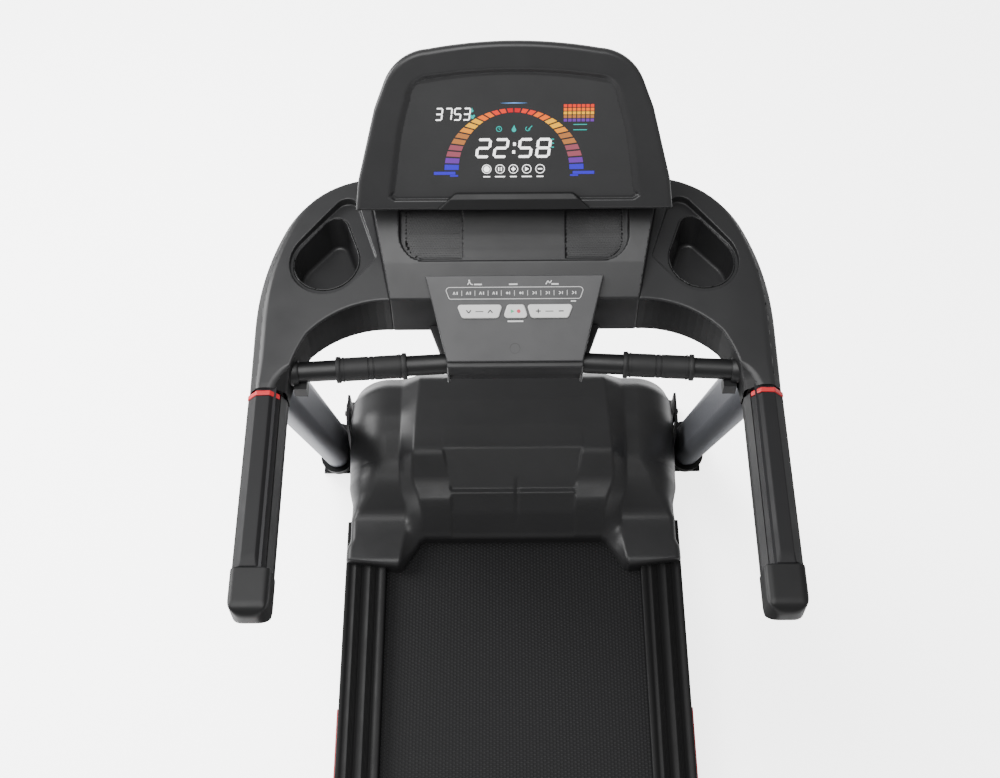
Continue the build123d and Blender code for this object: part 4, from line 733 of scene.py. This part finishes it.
BAR_MIDDLE, BAR_END = Vector((0, 394, 970)), Vector((348, 373, 970))
BAR_R, GRIP_R = 16.0, 18.5
for side_name, side in SIDES.items():
    end = Vector((side * BAR_END.x, BAR_END.y, BAR_END.z))
    length = (end - BAR_MIDDLE).length
    turned(f"crossbar_{side_name}",
           [(-2, BAR_R), (length - 14, BAR_R), (length - 14, 19), (length - 11, 20.5),
            (length + 4, 20.5)],
           "root", BAR_PAINT, BAR_MIDDLE, end, ["crossbar"] if side < 0 else ())
    g = GRIP_R
    turned(f"bar_grip_{side_name}",
           [(168, BAR_R - 1), (168, g + 1.4), (169, g + 2.2), (174, g + 2.2), (175, g + 1.4), (175, g),
            (178, g), (178, g + 1.0), (180, g + 1.0), (180, g), (217, g), (217.6, g - 1),
            (219, g - 1), (219.6, g), (225, g), (225.6, g - 1), (227, g - 1), (227.6, g),
            (265, g), (265, g + 1.0), (267, g + 1.0), (267, g), (270, g), (270, g + 1.4),
            (271, g + 2.2), (276, g + 2.2), (277, g + 1.4), (277, BAR_R - 1)],
           "root", GRIP, BAR_MIDDLE, end, ["bar_grips"] if side < 0 else ())
    clamp_x = sorted((side * 322.0, side * 342.0))
    clamp = [(clamp_x[0], y, z) for y, z in ((350, 938), (366, 938), (368, 940), (368, 962),
                                             (348, 962), (348, 940))]
    prism(f"bar_clamp_{side_name}", [clamp, [(clamp_x[1], y, z) for _, y, z in clamp]],
          "root", DARK, angle=30)

# ---- keypad

KEYPAD = Slope(371, 1000, 28.7)
PANEL_EDGE = outline([(-104, 1), (104, 1), (137, 133), (-137, 133)])
FLANGE = outline([(-105, 380), (105, 380), (140, 482), (-140, 482)])


def keypad_panel(x, y, z):
    s, h = KEYPAD.local(y, z)
    return both(PANEL_EDGE(x, s), slab(h, -9, -0.2), 1.2)


def keypad_body(x, y, z):
    """The housing under the panel: a front wall over the crossbar and two side flanges."""
    s, h = KEYPAD.local(y, z)
    tray_edge = both(PANEL_EDGE(x, s) - 0.6, slab(h, -22, -9.3), 2)
    front = both(both(slab(y, 369, 388), np.abs(x) - 105, 2), slab(z, 941, 999), 2)
    notch = both(both(np.abs(x) - 101.5, y - 376), z - 967, 1)
    front = without(both(front, h + 9.3, 1), notch, 1)
    block = both(PANEL_EDGE(x, s) + 2, slab(y, 372, 497), 2)
    block = both(block, slab(z, 958, 1080), 2)
    block = both(block, h + 20, 2)
    wings = both(FLANGE(x, y), slab(z, 947, 957), 2)
    return either(either(either(tray_edge, block, 2), front, 2), wings, 4)


mould("keypad_cover", keypad_panel, (-139, 366, 990), (139, 492, 1066), 2.0, "root", PANEL,
      ["keypad_overlay"])
mould("keypad_body", keypad_body, (-142, 367, 940), (142, 498, 1066), 2.0, "root", SHELL,
      ["keypad_housing"])


def printed(name, shapes, look, slope, h, body="root"):
    """Print or lit marks: flat shapes on a slope, each facing out of it."""
    points, faces = [], []
    for shape in shapes:
        area = sum(x0 * y1 - x1 * y0 for (x0, y0), (x1, y1) in zip(shape, shape[1:] + shape[:1]))
        faces.append(tuple(range(len(points), len(points) + len(shape))))
        points += [slope.world(x, s, h) for x, s in (shape if area > 0 else shape[::-1])]
    piece(name, points, faces, body, look, smooth=False)


def disc(x, s, radius, count=20):
    """A round spot."""
    return [(x + radius * cos(2 * pi * i / count), s + radius * sin(2 * pi * i / count))
            for i in range(count)]


def hoop(x, s, radius, thick, start=0.0, turn=360.0, count=24):
    """A ring or part of one, as short straight strips."""
    angles = [radians(start + turn * i / count) for i in range(count + 1)]
    inner = radius - thick
    return [[(x + r * cos(t), s + r * sin(t)) for r, t in
             ((inner, a), (radius, a), (radius, b), (inner, b))]
            for a, b in zip(angles, angles[1:])]


def stroke(points, thick):
    """Straight strips of one width along a run of points."""
    strips = []
    for (x0, s0), (x1, s1) in zip(points, points[1:]):
        length = hypot(x1 - x0, s1 - s0)
        nx, ns = -(s1 - s0) / length * thick / 2, (x1 - x0) / length * thick / 2
        strips.append([(x0 + nx, s0 + ns), (x0 - nx, s0 - ns), (x1 - nx, s1 - ns),
                       (x1 + nx, s1 + ns)])
    return strips


def bar(x, s, wide, high):
    """A rectangle about a point."""
    return [(x - wide / 2, s - high / 2), (x + wide / 2, s - high / 2),
            (x + wide / 2, s + high / 2), (x - wide / 2, s + high / 2)]


SEGMENTS = {"0": "abcdef", "1": "bc", "2": "abged", "3": "abgcd", "5": "afgcd", "7": "abc",
            "8": "abcdefg"}


def digit(figure, x, s, wide, high, thick, lean=0.14):
    """A seven-segment figure, its lower left corner at (x, s)."""
    half = high / 2
    gap = thick * 0.12
    ends = {"a": ((0, high), (wide, high)), "g": ((0, half), (wide, half)),
            "d": ((0, 0), (wide, 0)), "f": ((0, half), (0, high)), "b": ((wide, half), (wide, high)),
            "e": ((0, 0), (0, half)), "c": ((wide, 0), (wide, half))}
    shapes = []
    for segment in SEGMENTS[figure]:
        (x0, s0), (x1, s1) = ends[segment]
        t = thick / 2
        if s0 == s1:
            loop = [(x0 + gap, s0), (x0 + t, s0 - t), (x1 - t, s0 - t), (x1 - gap, s0),
                    (x1 - t, s0 + t), (x0 + t, s0 + t)]
        else:
            loop = [(x0, s0 + gap), (x0 + t, s0 + t), (x0 + t, s1 - t), (x0, s1 - gap),
                    (x0 - t, s1 - t), (x0 - t, s0 + t)]
        shapes.append([(x + u + v * lean, s + v) for u, v in loop])
    return shapes


WHITE_PRINT, DARK_PRINT, GREEN_PRINT, RED_PRINT = [
    moulded(f"{name}_print", colour, 0.5, grain=900.0, depth=0.00001)
    for name, colour in (("white", (0.85, 0.85, 0.85)), ("dark", (0.03, 0.03, 0.03)),
                         ("green", (0.05, 0.55, 0.25)), ("red", (0.75, 0.05, 0.10)))]

STRIP_LOOP = [(-99, 97), (99, 97), (101, 99), (105, 110), (104, 113), (101, 115), (-101, 115),
              (-104, 113), (-105, 110), (-101, 99), (-99, 97)]
strip_marks = stroke(STRIP_LOOP, 0.9)
strip_marks += [bar(-81 + 20.2 * i, 106, 0.8, 8) for i in range(9)]
for number in range(10):
    x = -91 + 20.2 * number
    if number < 4:
        strip_marks += stroke([(x - 3.2, 103.8), (x - 1.6, 108.2), (x, 103.8)], 1.3)
        strip_marks += [bar(x + 3, 106, 1.8, 4.6)]
    elif number < 6:
        strip_marks += [disc(x - 1, 106, 1.9, 12), bar(x + 2.6, 106, 1.4, 4.4)]
    else:
        strip_marks += stroke([(x - 2.6, 103.8), (x + 0.4, 106), (x - 2.6, 108.2)], 1.3)
        strip_marks += [bar(x + 2.8, 106, 1.4, 4.4)]
strip_marks += stroke([(-72, 119), (-69, 124), (-67, 120), (-64, 119)], 1.6)
strip_marks += [disc(-69.5, 125.4, 1.5, 10), bar(-56, 119.4, 12, 2.2), bar(-2, 119.4, 13, 2.2),
                bar(62, 119.4, 11, 2.2), bar(90, 93, 8, 1.8), bar(1, 62.5, 24, 2.4)]
strip_marks += stroke([(48, 119), (51, 124.5), (54, 121), (57, 125)], 1.6)
printed("quick_key_print", strip_marks, WHITE_PRINT, KEYPAD, 0.15)
printed("safety_key_mark", hoop(0, 21, 8, 0.8, 0, 180, 16) + hoop(0, 21, 8, 0.4, 180, 180, 16),
        DARK_PRINT, KEYPAD, 0.15)

KEY_TOP = 4.0
KEYS = {"incline_key": [(-82.5, 83.5, 4.5), (-24.5, 83.5, 4.5), (-29, 72.5, 5.5), (-77, 72.5, 5.5)],
        "start_stop_key": [(-8, 83.5, 4.5), (11, 83.5, 4.5), (13.5, 72.5, 5.5), (-10.5, 72.5, 5.5)],
        "speed_key": [(24.5, 83.5, 4.5), (83.5, 83.5, 4.5), (78, 72.5, 5.5), (29, 72.5, 5.5)]}
for key, discs in KEYS.items():
    key_edge = outline(around(discs, 24))

    def key_cap(x, y, z, edge=key_edge):
        s, h = KEYPAD.local(y, z)
        return both(edge(x, s), slab(h, -4, KEY_TOP), 1.4)

    left, right_end = min(x - r for x, _, r in discs), max(x + r for x, _, r in discs)
    low, high = KEYPAD.world(left, 66, 0), KEYPAD.world(right_end, 90, 0)
    mould(f"{key}_cap", key_cap, (low[0], low[1] - 5, low[2] - 5), (high[0], high[1] + 5, high[2] + 5),
          1.0, key, KEY_WHITE, [key])
printed("incline_key_print", stroke([(-74, 79.5), (-70.5, 75), (-67, 79.5)], 1.7)
        + stroke([(-41, 75), (-37.5, 79.5), (-34, 75)], 1.7) + [bar(-54, 77.3, 12, 1.2)],
        DARK_PRINT, KEYPAD, KEY_TOP + 0.15, "incline_key")
printed("start_mark", [[(-6, 74.5), (-0.5, 77.5), (-6, 80.5)]], GREEN_PRINT, KEYPAD,
        KEY_TOP + 0.15, "start_stop_key")
printed("stop_mark", [disc(6, 77.5, 2.9)], RED_PRINT, KEYPAD, KEY_TOP + 0.15,
        "start_stop_key")
printed("speed_key_print", [bar(36, 77.5, 7.5, 1.7), bar(36, 79.6, 1.7, 2.6),
                            bar(36, 75.4, 1.7, 2.6), bar(71, 77.5, 7.5, 1.7),
                            bar(53, 77.3, 12, 1.2)],
        DARK_PRINT, KEYPAD, KEY_TOP + 0.15, "speed_key")

# ---- console tray and grilles

TRAY_LINE = soft_line([(440, 1014.6), (467, 1030), (516, 1061), (604, 1101), (620, 1108)], 2)
COVE_LINE = soft_line([(500, 1052), (524, 1057), (550, 1064), (575, 1074), (604, 1091)], 9)
COVE_EDGE = outline([(-178, 640), (-178, 560)] + arc((-178, 560), (-168, 532), (-140, 519))[1:]
                    + [(-140, 519), (140, 519)] + arc((140, 519), (168, 532), (178, 560))[1:]
                    + [(178, 560), (178, 640)])
GRILLE_LOOP = [(80, 602), (80, 525)] + arc((138, 525), (160, 535), (168, 558), 8) + [(168, 602)]
GRILLE_EDGE = outline(GRILLE_LOOP)


def seam_half(y):
    return 192 + (y - 467) * 48 / 241


def tray(x, y, z):
    """The console's front tray with a cove under the display, hollow below."""
    form = both(over(lambda _, v: TRAY_LINE(v), x, y, z), 467 - y, 2.5)
    form = both(form, (np.abs(x) - seam_half(y) - 0.8) * 0.98, 1)
    cove = both(COVE_EDGE(x, y), -over(lambda _, v: COVE_LINE(v), x, y, z), 3)
    form = without(form, cove, 2)
    sunk = both(GRILLE_EDGE(np.abs(x), y), -over(lambda _, v: COVE_LINE(v) - 1.8, x, y, z), 0.5)
    form = without(form, sunk, 0.8)
    form = both(form, slab(y, 467, 603.7), 0.5)
    form = both(form, 943 - z, 3)
    return np.maximum(form, -(form + 6))


mould("console_tray_cover", tray, (-222, 466, 943), (222, 604, 1096), 2.5, "root", SHELL,
      ["console_tray"])

HOLE_PITCH, HOLE_R = 4.4, 1.25
HOLE_SIDES = 6
ROW_PITCH = HOLE_PITCH * sin(radians(60))


def grille(name, side):
    """A perforated plate: a hexagonal lattice of holes in a plate that follows the cove."""
    points, faces = [], []

    def point(x, y, radius, number, drop=0.0):
        turn = radians(30 + 60 * number)
        x, y = x + radius * cos(turn), y + radius * sin(turn)
        points.append((side * x, y, float(COVE_LINE(np.array(y))) - 0.7 - drop))
        return len(points) - 1

    for row in range(19):
        y = 526 + row * ROW_PITCH
        for column in range(20):
            x = 83 + (column + 0.5 * (row % 2)) * HOLE_PITCH
            if GRILLE_EDGE(np.array(x), np.array(y)) > -HOLE_PITCH * 0.75:
                continue
            cell, hole, foot = [[point(x, y, radius, i, drop) for i in range(HOLE_SIDES)]
                                for radius, drop in ((HOLE_PITCH / sin(radians(60)) / 2, 0),
                                                     (HOLE_R, 0), (HOLE_R, 0.8))]
            for i in range(HOLE_SIDES):
                j = (i + 1) % HOLE_SIDES
                faces.append((cell[i], cell[j], hole[j], hole[i]))
                faces.append((hole[i], hole[j], foot[j], foot[i]))
    piece(name, points, faces, "root", SHELL,
          ["speaker_grilles"] if side < 0 else (), smooth=False)


for side_name, side in SIDES.items():
    grille(f"speaker_grille_{side_name}", side)
    cone_foot = (side * 123, 574, 1040)
    turned(f"speaker_{side_name}", [(-24, 17), (-10, 17), (-10, 12), (2, 14), (12, 30), (16, 31),
                                    (16, 27), (13, 25), (7, 10), (8, 5), (9, 0.5)],
           "root", RUBBER, cone_foot, (side * 123, 564, 1066),
           ["speaker_drivers"] if side < 0 else ())

# ---- display head

DISPLAY = Slope(560, 1150, 56)
HEAD_T, BEZEL_T, GLASS_DEPTH = 45.0, 22.0, 6.0
NECK_LINE = soft_line([(600, 1130), (604, 1136), (664, 1222), (690, 1210), (720, 1090)], 0)
HEAD_RIGHT = [(240, -12), (234, 36), (206, 143), (190, 183)]
HEAD_EDGE = outline([(-240, -12)] + HEAD_RIGHT[:3]
                    + arc((190, 183), (163, 216), (125, 229))
                    + arc((125, 229), (0, 240), (-125, 229), 24)
                    + arc((-125, 229), (-163, 216), (-190, 183))
                    + [(-190, 183), (-206, 143), (-234, 36)])
RIM_EDGE = outline([(-189, 10), (-180, 4), (180, 4), (189, 10)] + arc((178, 83), (170, 124), (160, 158))
                   + arc((160, 158), (149, 183), (124, 194))
                   + arc((124, 194), (0, 203), (-124, 194), 20)
                   + arc((-124, 194), (-149, 183), (-160, 158))
                   + arc((-160, 158), (-170, 124), (-178, 83)))
GLASS_LOOP = ([(176, 9), (184, 13), (186, 24), (168, 120)] + arc((163, 146), (155, 170), (132, 180))
              + arc((132, 180), (0, 192), (-132, 180), 20) + arc((-132, 180), (-155, 170), (-163, 146))
              + [(-168, 120), (-186, 24), (-184, 13), (-176, 9)])


def head_front(x, y, z):
    s, h = DISPLAY.local(y, z)
    form = both(HEAD_EDGE(x, s), slab(h, -BEZEL_T + 0.3, 0), 7)
    slope = (RIM_EDGE(x, s) - 1.3 * np.clip((s - 5) / 12, 0.1, 1) * h) / 1.64
    pocket = both(slope, -GLASS_DEPTH - h, 0.5)
    return without(form, pocket, 1.2)


def head_lip(x, y, z):
    """The dark ledge below the window."""
    s, h = DISPLAY.local(y, z)
    wide = 110 - (s + 4) * 1.1
    form = both((np.abs(x) - wide) * 0.7, slab(s, -10, 15), 3)
    return both(form, np.maximum(-9 - h, h - np.clip((15 - s) * 0.5, -4, 4)) * 0.9, 2)


def rear_cover(x, y, z):
    """Back of the head, and the neck down to the shoulders, hollow inside."""
    s, h = DISPLAY.local(y, z)
    taper = np.clip(-BEZEL_T - h, 0, HEAD_T) * 0.45
    back = both(HEAD_EDGE(x, s) + taper, slab(h, -HEAD_T, -BEZEL_T - 0.3), 9)
    neck = both(over(lambda _, v: NECK_LINE(v), x, y, z), y - 708, 12)
    neck = both(neck, (np.abs(x) - seam_half(y)) * 0.98, 3)
    neck = both(neck, (np.abs(x) - 240 + (z - 1080) * 77 / 160) * 0.9, 4)
    neck = both(neck, slab(y, 604.3, 708), 1)
    neck = both(neck, 943 - z, 3)
    form = either(back, neck, 6)
    form = without(form, np.maximum(-(h + BEZEL_T + 0.3), 1100 - z), 0.5)
    return np.maximum(form, -(form + 5))


mould("display_frame", head_front, (-241, 545, 1128), (241, 712, 1352), 2.5, "root", SHELL,
      ["display_bezel"])
mould("display_lip", head_lip, (-118, 545, 1128), (118, 580, 1175), 2.0, "root", DARK)
mould("rear_cover", rear_cover, (-241, 575, 943), (241, 735, 1352), 3.0, "root", SHELL,
      ["console_rear_cover"])
glass_low = [DISPLAY.world(x, s, -GLASS_DEPTH - 2) for x, s in GLASS_LOOP]
glass_edge = [DISPLAY.world(x, s, -GLASS_DEPTH + 0.1) for x, s in GLASS_LOOP]
prism("display_window", [glass_low, glass_edge], "root", GLASS,
      ["display_lens"])

LIT_H = -GLASS_DEPTH + 0.4
LIT_COLOURS = {"indigo": (0.035, 0.01, 0.60), "violet": (0.14, 0.03, 0.34),
               "mauve": (0.30, 0.07, 0.10), "tan": (0.45, 0.16, 0.04),
               "amber": (0.85, 0.28, 0.01), "yellow": (1.0, 0.46, 0.0),
               "orange": (1.0, 0.16, 0.0), "scarlet": (0.90, 0.04, 0.01),
               "crimson": (0.65, 0.0, 0.01), "teal": (0.0, 0.45, 0.40),
               "white": (1.0, 1.0, 1.0), "glint": (0.15, 0.40, 0.95)}
LIT = {name: light(f"lit_{name}", colour, 2.4 if name == "white" else 1.0)
       for name, colour in LIT_COLOURS.items()}
marks = {name: [] for name in LIT}
ARC_FOOT, ARC_COUNT = 49.0, 14
ARC_ORDER = ["indigo", "violet", "mauve", "mauve", "tan", "tan", "amber", "yellow", "yellow",
             "orange", "orange", "scarlet", "scarlet", "crimson"]
for number, name in enumerate(ARC_ORDER):
    low_t, high_t = [radians(90 * (number + e) / ARC_COUNT) for e in (0.12, 0.88)]
    for side in (-1, 1):
        marks[name].append([(side * a * cos(t), ARC_FOOT + b * sin(t)) for a, b, t in
                            ((83, 88, low_t), (104, 94, low_t), (104, 94, high_t),
                             (83, 88, high_t))])
for side in (-1, 1):
    marks["indigo"].append(bar(side * 104, 45, 32, 4.5))
    marks["indigo"].append(bar(side * 90, 41, 12, 2.5))
for x, figure in zip((-56, -30, 6, 33), "2258"):
    marks["white"] += digit(figure, x, 70, 18, 26, 3.9)
marks["white"] += [bar(-0.5, 77, 4, 5), bar(0.8, 89, 4, 5)]
for x, figure in zip((-116, -102, -88.5, -75), "3753"):
    marks["white"] += digit(figure, x, 126, 9, 17, 2.0)
for row, name in enumerate(["violet", "tan", "yellow", "orange", "scarlet"]):
    marks[name] += [bar(76 + 6.6 * i, 124.5 + 5.4 * row, 5, 4.2) for i in range(7)]
marks["teal"] += [bar(98, 118, 20, 1.3), bar(98, 110, 20, 1.3), bar(57.5, 96, 4, 1.6),
                  bar(57.5, 90, 4, 1.6), bar(57.5, 84, 4, 1.6)]
marks["teal"] += [disc(-61, 130, 2.6, 14), disc(-63.5, 132, 1.7, 10), disc(-58.8, 132, 1.7, 10),
                  [(-62.8, 140), (-60.4, 140), (-61.4, 144.5)], disc(-61.6, 139.5, 2.2, 12)]
marks["teal"] += hoop(-22, 112, 4.4, 1.1) + stroke([(-22, 114.6), (-22, 112), (-20, 111)], 0.9)
marks["teal"] += [disc(0, 110.6, 3.4, 14), [(-3, 112), (2.4, 112.4), (0.6, 118)]]
marks["teal"] += hoop(20.5, 112, 3.6, 1.1, 110, 260)
marks["teal"] += stroke([(21, 111), (23.4, 113), (27, 116.5)], 1.2)
ICONS = [-41, -21, -1, 19, 39]
for x in ICONS:
    marks["white"] += hoop(x, 51, 7.0, 0.9)
    marks["white"].append(bar(x, 39.3, 10 if x in (-41, -1, 39) else 15, 1.6))
marks["white"] += [disc(-41, 51, 4.6, 20), bar(-23, 51, 1.7, 6), bar(-19, 51, 1.7, 6),
                   bar(-1, 51, 6.4, 2.2), bar(-1, 53.1, 2.2, 2.1), bar(-1, 48.9, 2.2, 2.1),
                   [(16.6, 47.8), (22.4, 51), (16.6, 54.2)], bar(39, 51, 6.4, 1.9)]
marks["glint"] += [[(x0, 150 + (x0 / 20) ** 2 * 0.7), (x1, 150 + (x1 / 20) ** 2 * 0.7),
                    (x1, 150 + (x1 / 20) ** 2 * 0.7 + 1.6 * (1 - abs(x1) / 21)),
                    (x0, 150 + (x0 / 20) ** 2 * 0.7 + 1.6 * (1 - abs(x0) / 21))]
                   for x0, x1 in zip(range(-20, 20, 4), range(-16, 24, 4))]
for name, shapes in marks.items():
    printed(f"display_{name}", shapes, LIT[name], DISPLAY, LIT_H)

# ---- camera, light and floor

EYE = Vector((-18.3, -815.0, 2873.0)) * MM
PITCH, YAW, ROLL = radians(58.72), radians(0.25), radians(0.60)
FOCAL_SHARE = 1.45         # focal length over the frame's width
SENSOR = 36.0

forward = Vector((-sin(YAW) * cos(PITCH), cos(YAW) * cos(PITCH), -sin(PITCH)))
level = Vector((cos(YAW), sin(YAW), 0))
down = forward.cross(level)
right = cos(ROLL) * level + sin(ROLL) * down
down = forward.cross(right)
camera_data = bpy.data.cameras.new("camera")
camera_data.sensor_width = SENSOR
camera_data.lens = SENSOR * FOCAL_SHARE
camera = bpy.data.objects.new("camera", camera_data)
camera.matrix_world = Matrix.Translation(EYE) @ Matrix((right, -down, -forward)).transposed().to_4x4()
bpy.context.scene.collection.objects.link(camera)
bpy.context.scene.camera = camera

FLOOR_HALF = 40000.0
FLOOR_GLOW = 3.4           # a lit studio table that lights nothing but itself
floor_mesh = bpy.data.meshes.new("floor")
floor_mesh.from_pydata([(x * FLOOR_HALF * MM, y * FLOOR_HALF * MM, 0)
                        for x, y in ((-1, -1), (1, -1), (1, 1), (-1, 1))], [], [(0, 1, 2, 3)])
floor = bpy.data.objects.new("floor", floor_mesh)
bpy.context.scene.collection.objects.link(floor)
paint = Shader("floor_paint", (0.86, 0.86, 0.865), 0.75)
paint.set("Base Color", paint.mix(paint.noise(2.0, 2.0), (0.85, 0.85, 0.855), (0.88, 0.88, 0.885)))
paint.set("Emission Color", (1, 1, 1, 1))
paint.set("Emission Strength", FLOOR_GLOW)
floor_mesh.materials.append(paint.material)
table_only = bpy.data.collections.new("table_only")
table_only.objects.link(floor)
floor.light_linking.receiver_collection = table_only

world = bpy.data.worlds.new("studio")
bpy.context.scene.world = world
world.use_nodes = True
world.node_tree.nodes["Background"].inputs["Color"].default_value = (1, 1, 1, 1)
world.node_tree.nodes["Background"].inputs["Strength"].default_value = 0.33


def lamp(name, place, aim, size, power):
    """A square soft box at a place in metres, aimed at a point."""
    data = bpy.data.lights.new(name, "AREA")
    data.shape = "RECTANGLE"
    data.size, data.size_y = size
    data.energy = power
    made = bpy.data.objects.new(name, data)
    made.location = place
    made.rotation_euler = (Vector(aim) - Vector(place)).to_track_quat("-Z", "Y").to_euler()
    bpy.context.scene.collection.objects.link(made)
    return made


lamp("overhead_light", (-0.5, 0.0, 3.3), (0.0, 0.35, 0.8), (2.0, 2.0), 66)
lamp("left_light", (-2.4, 1.1, 1.7), (-0.1, 0.6, 0.5), (1.5, 1.5), 74)
table_light = lamp("table_light", (-1.1, 1.5, 3.4), (0.3, 0.2, 0.0), (1.6, 1.6), 300)
table_light.light_linking.receiver_collection = table_only
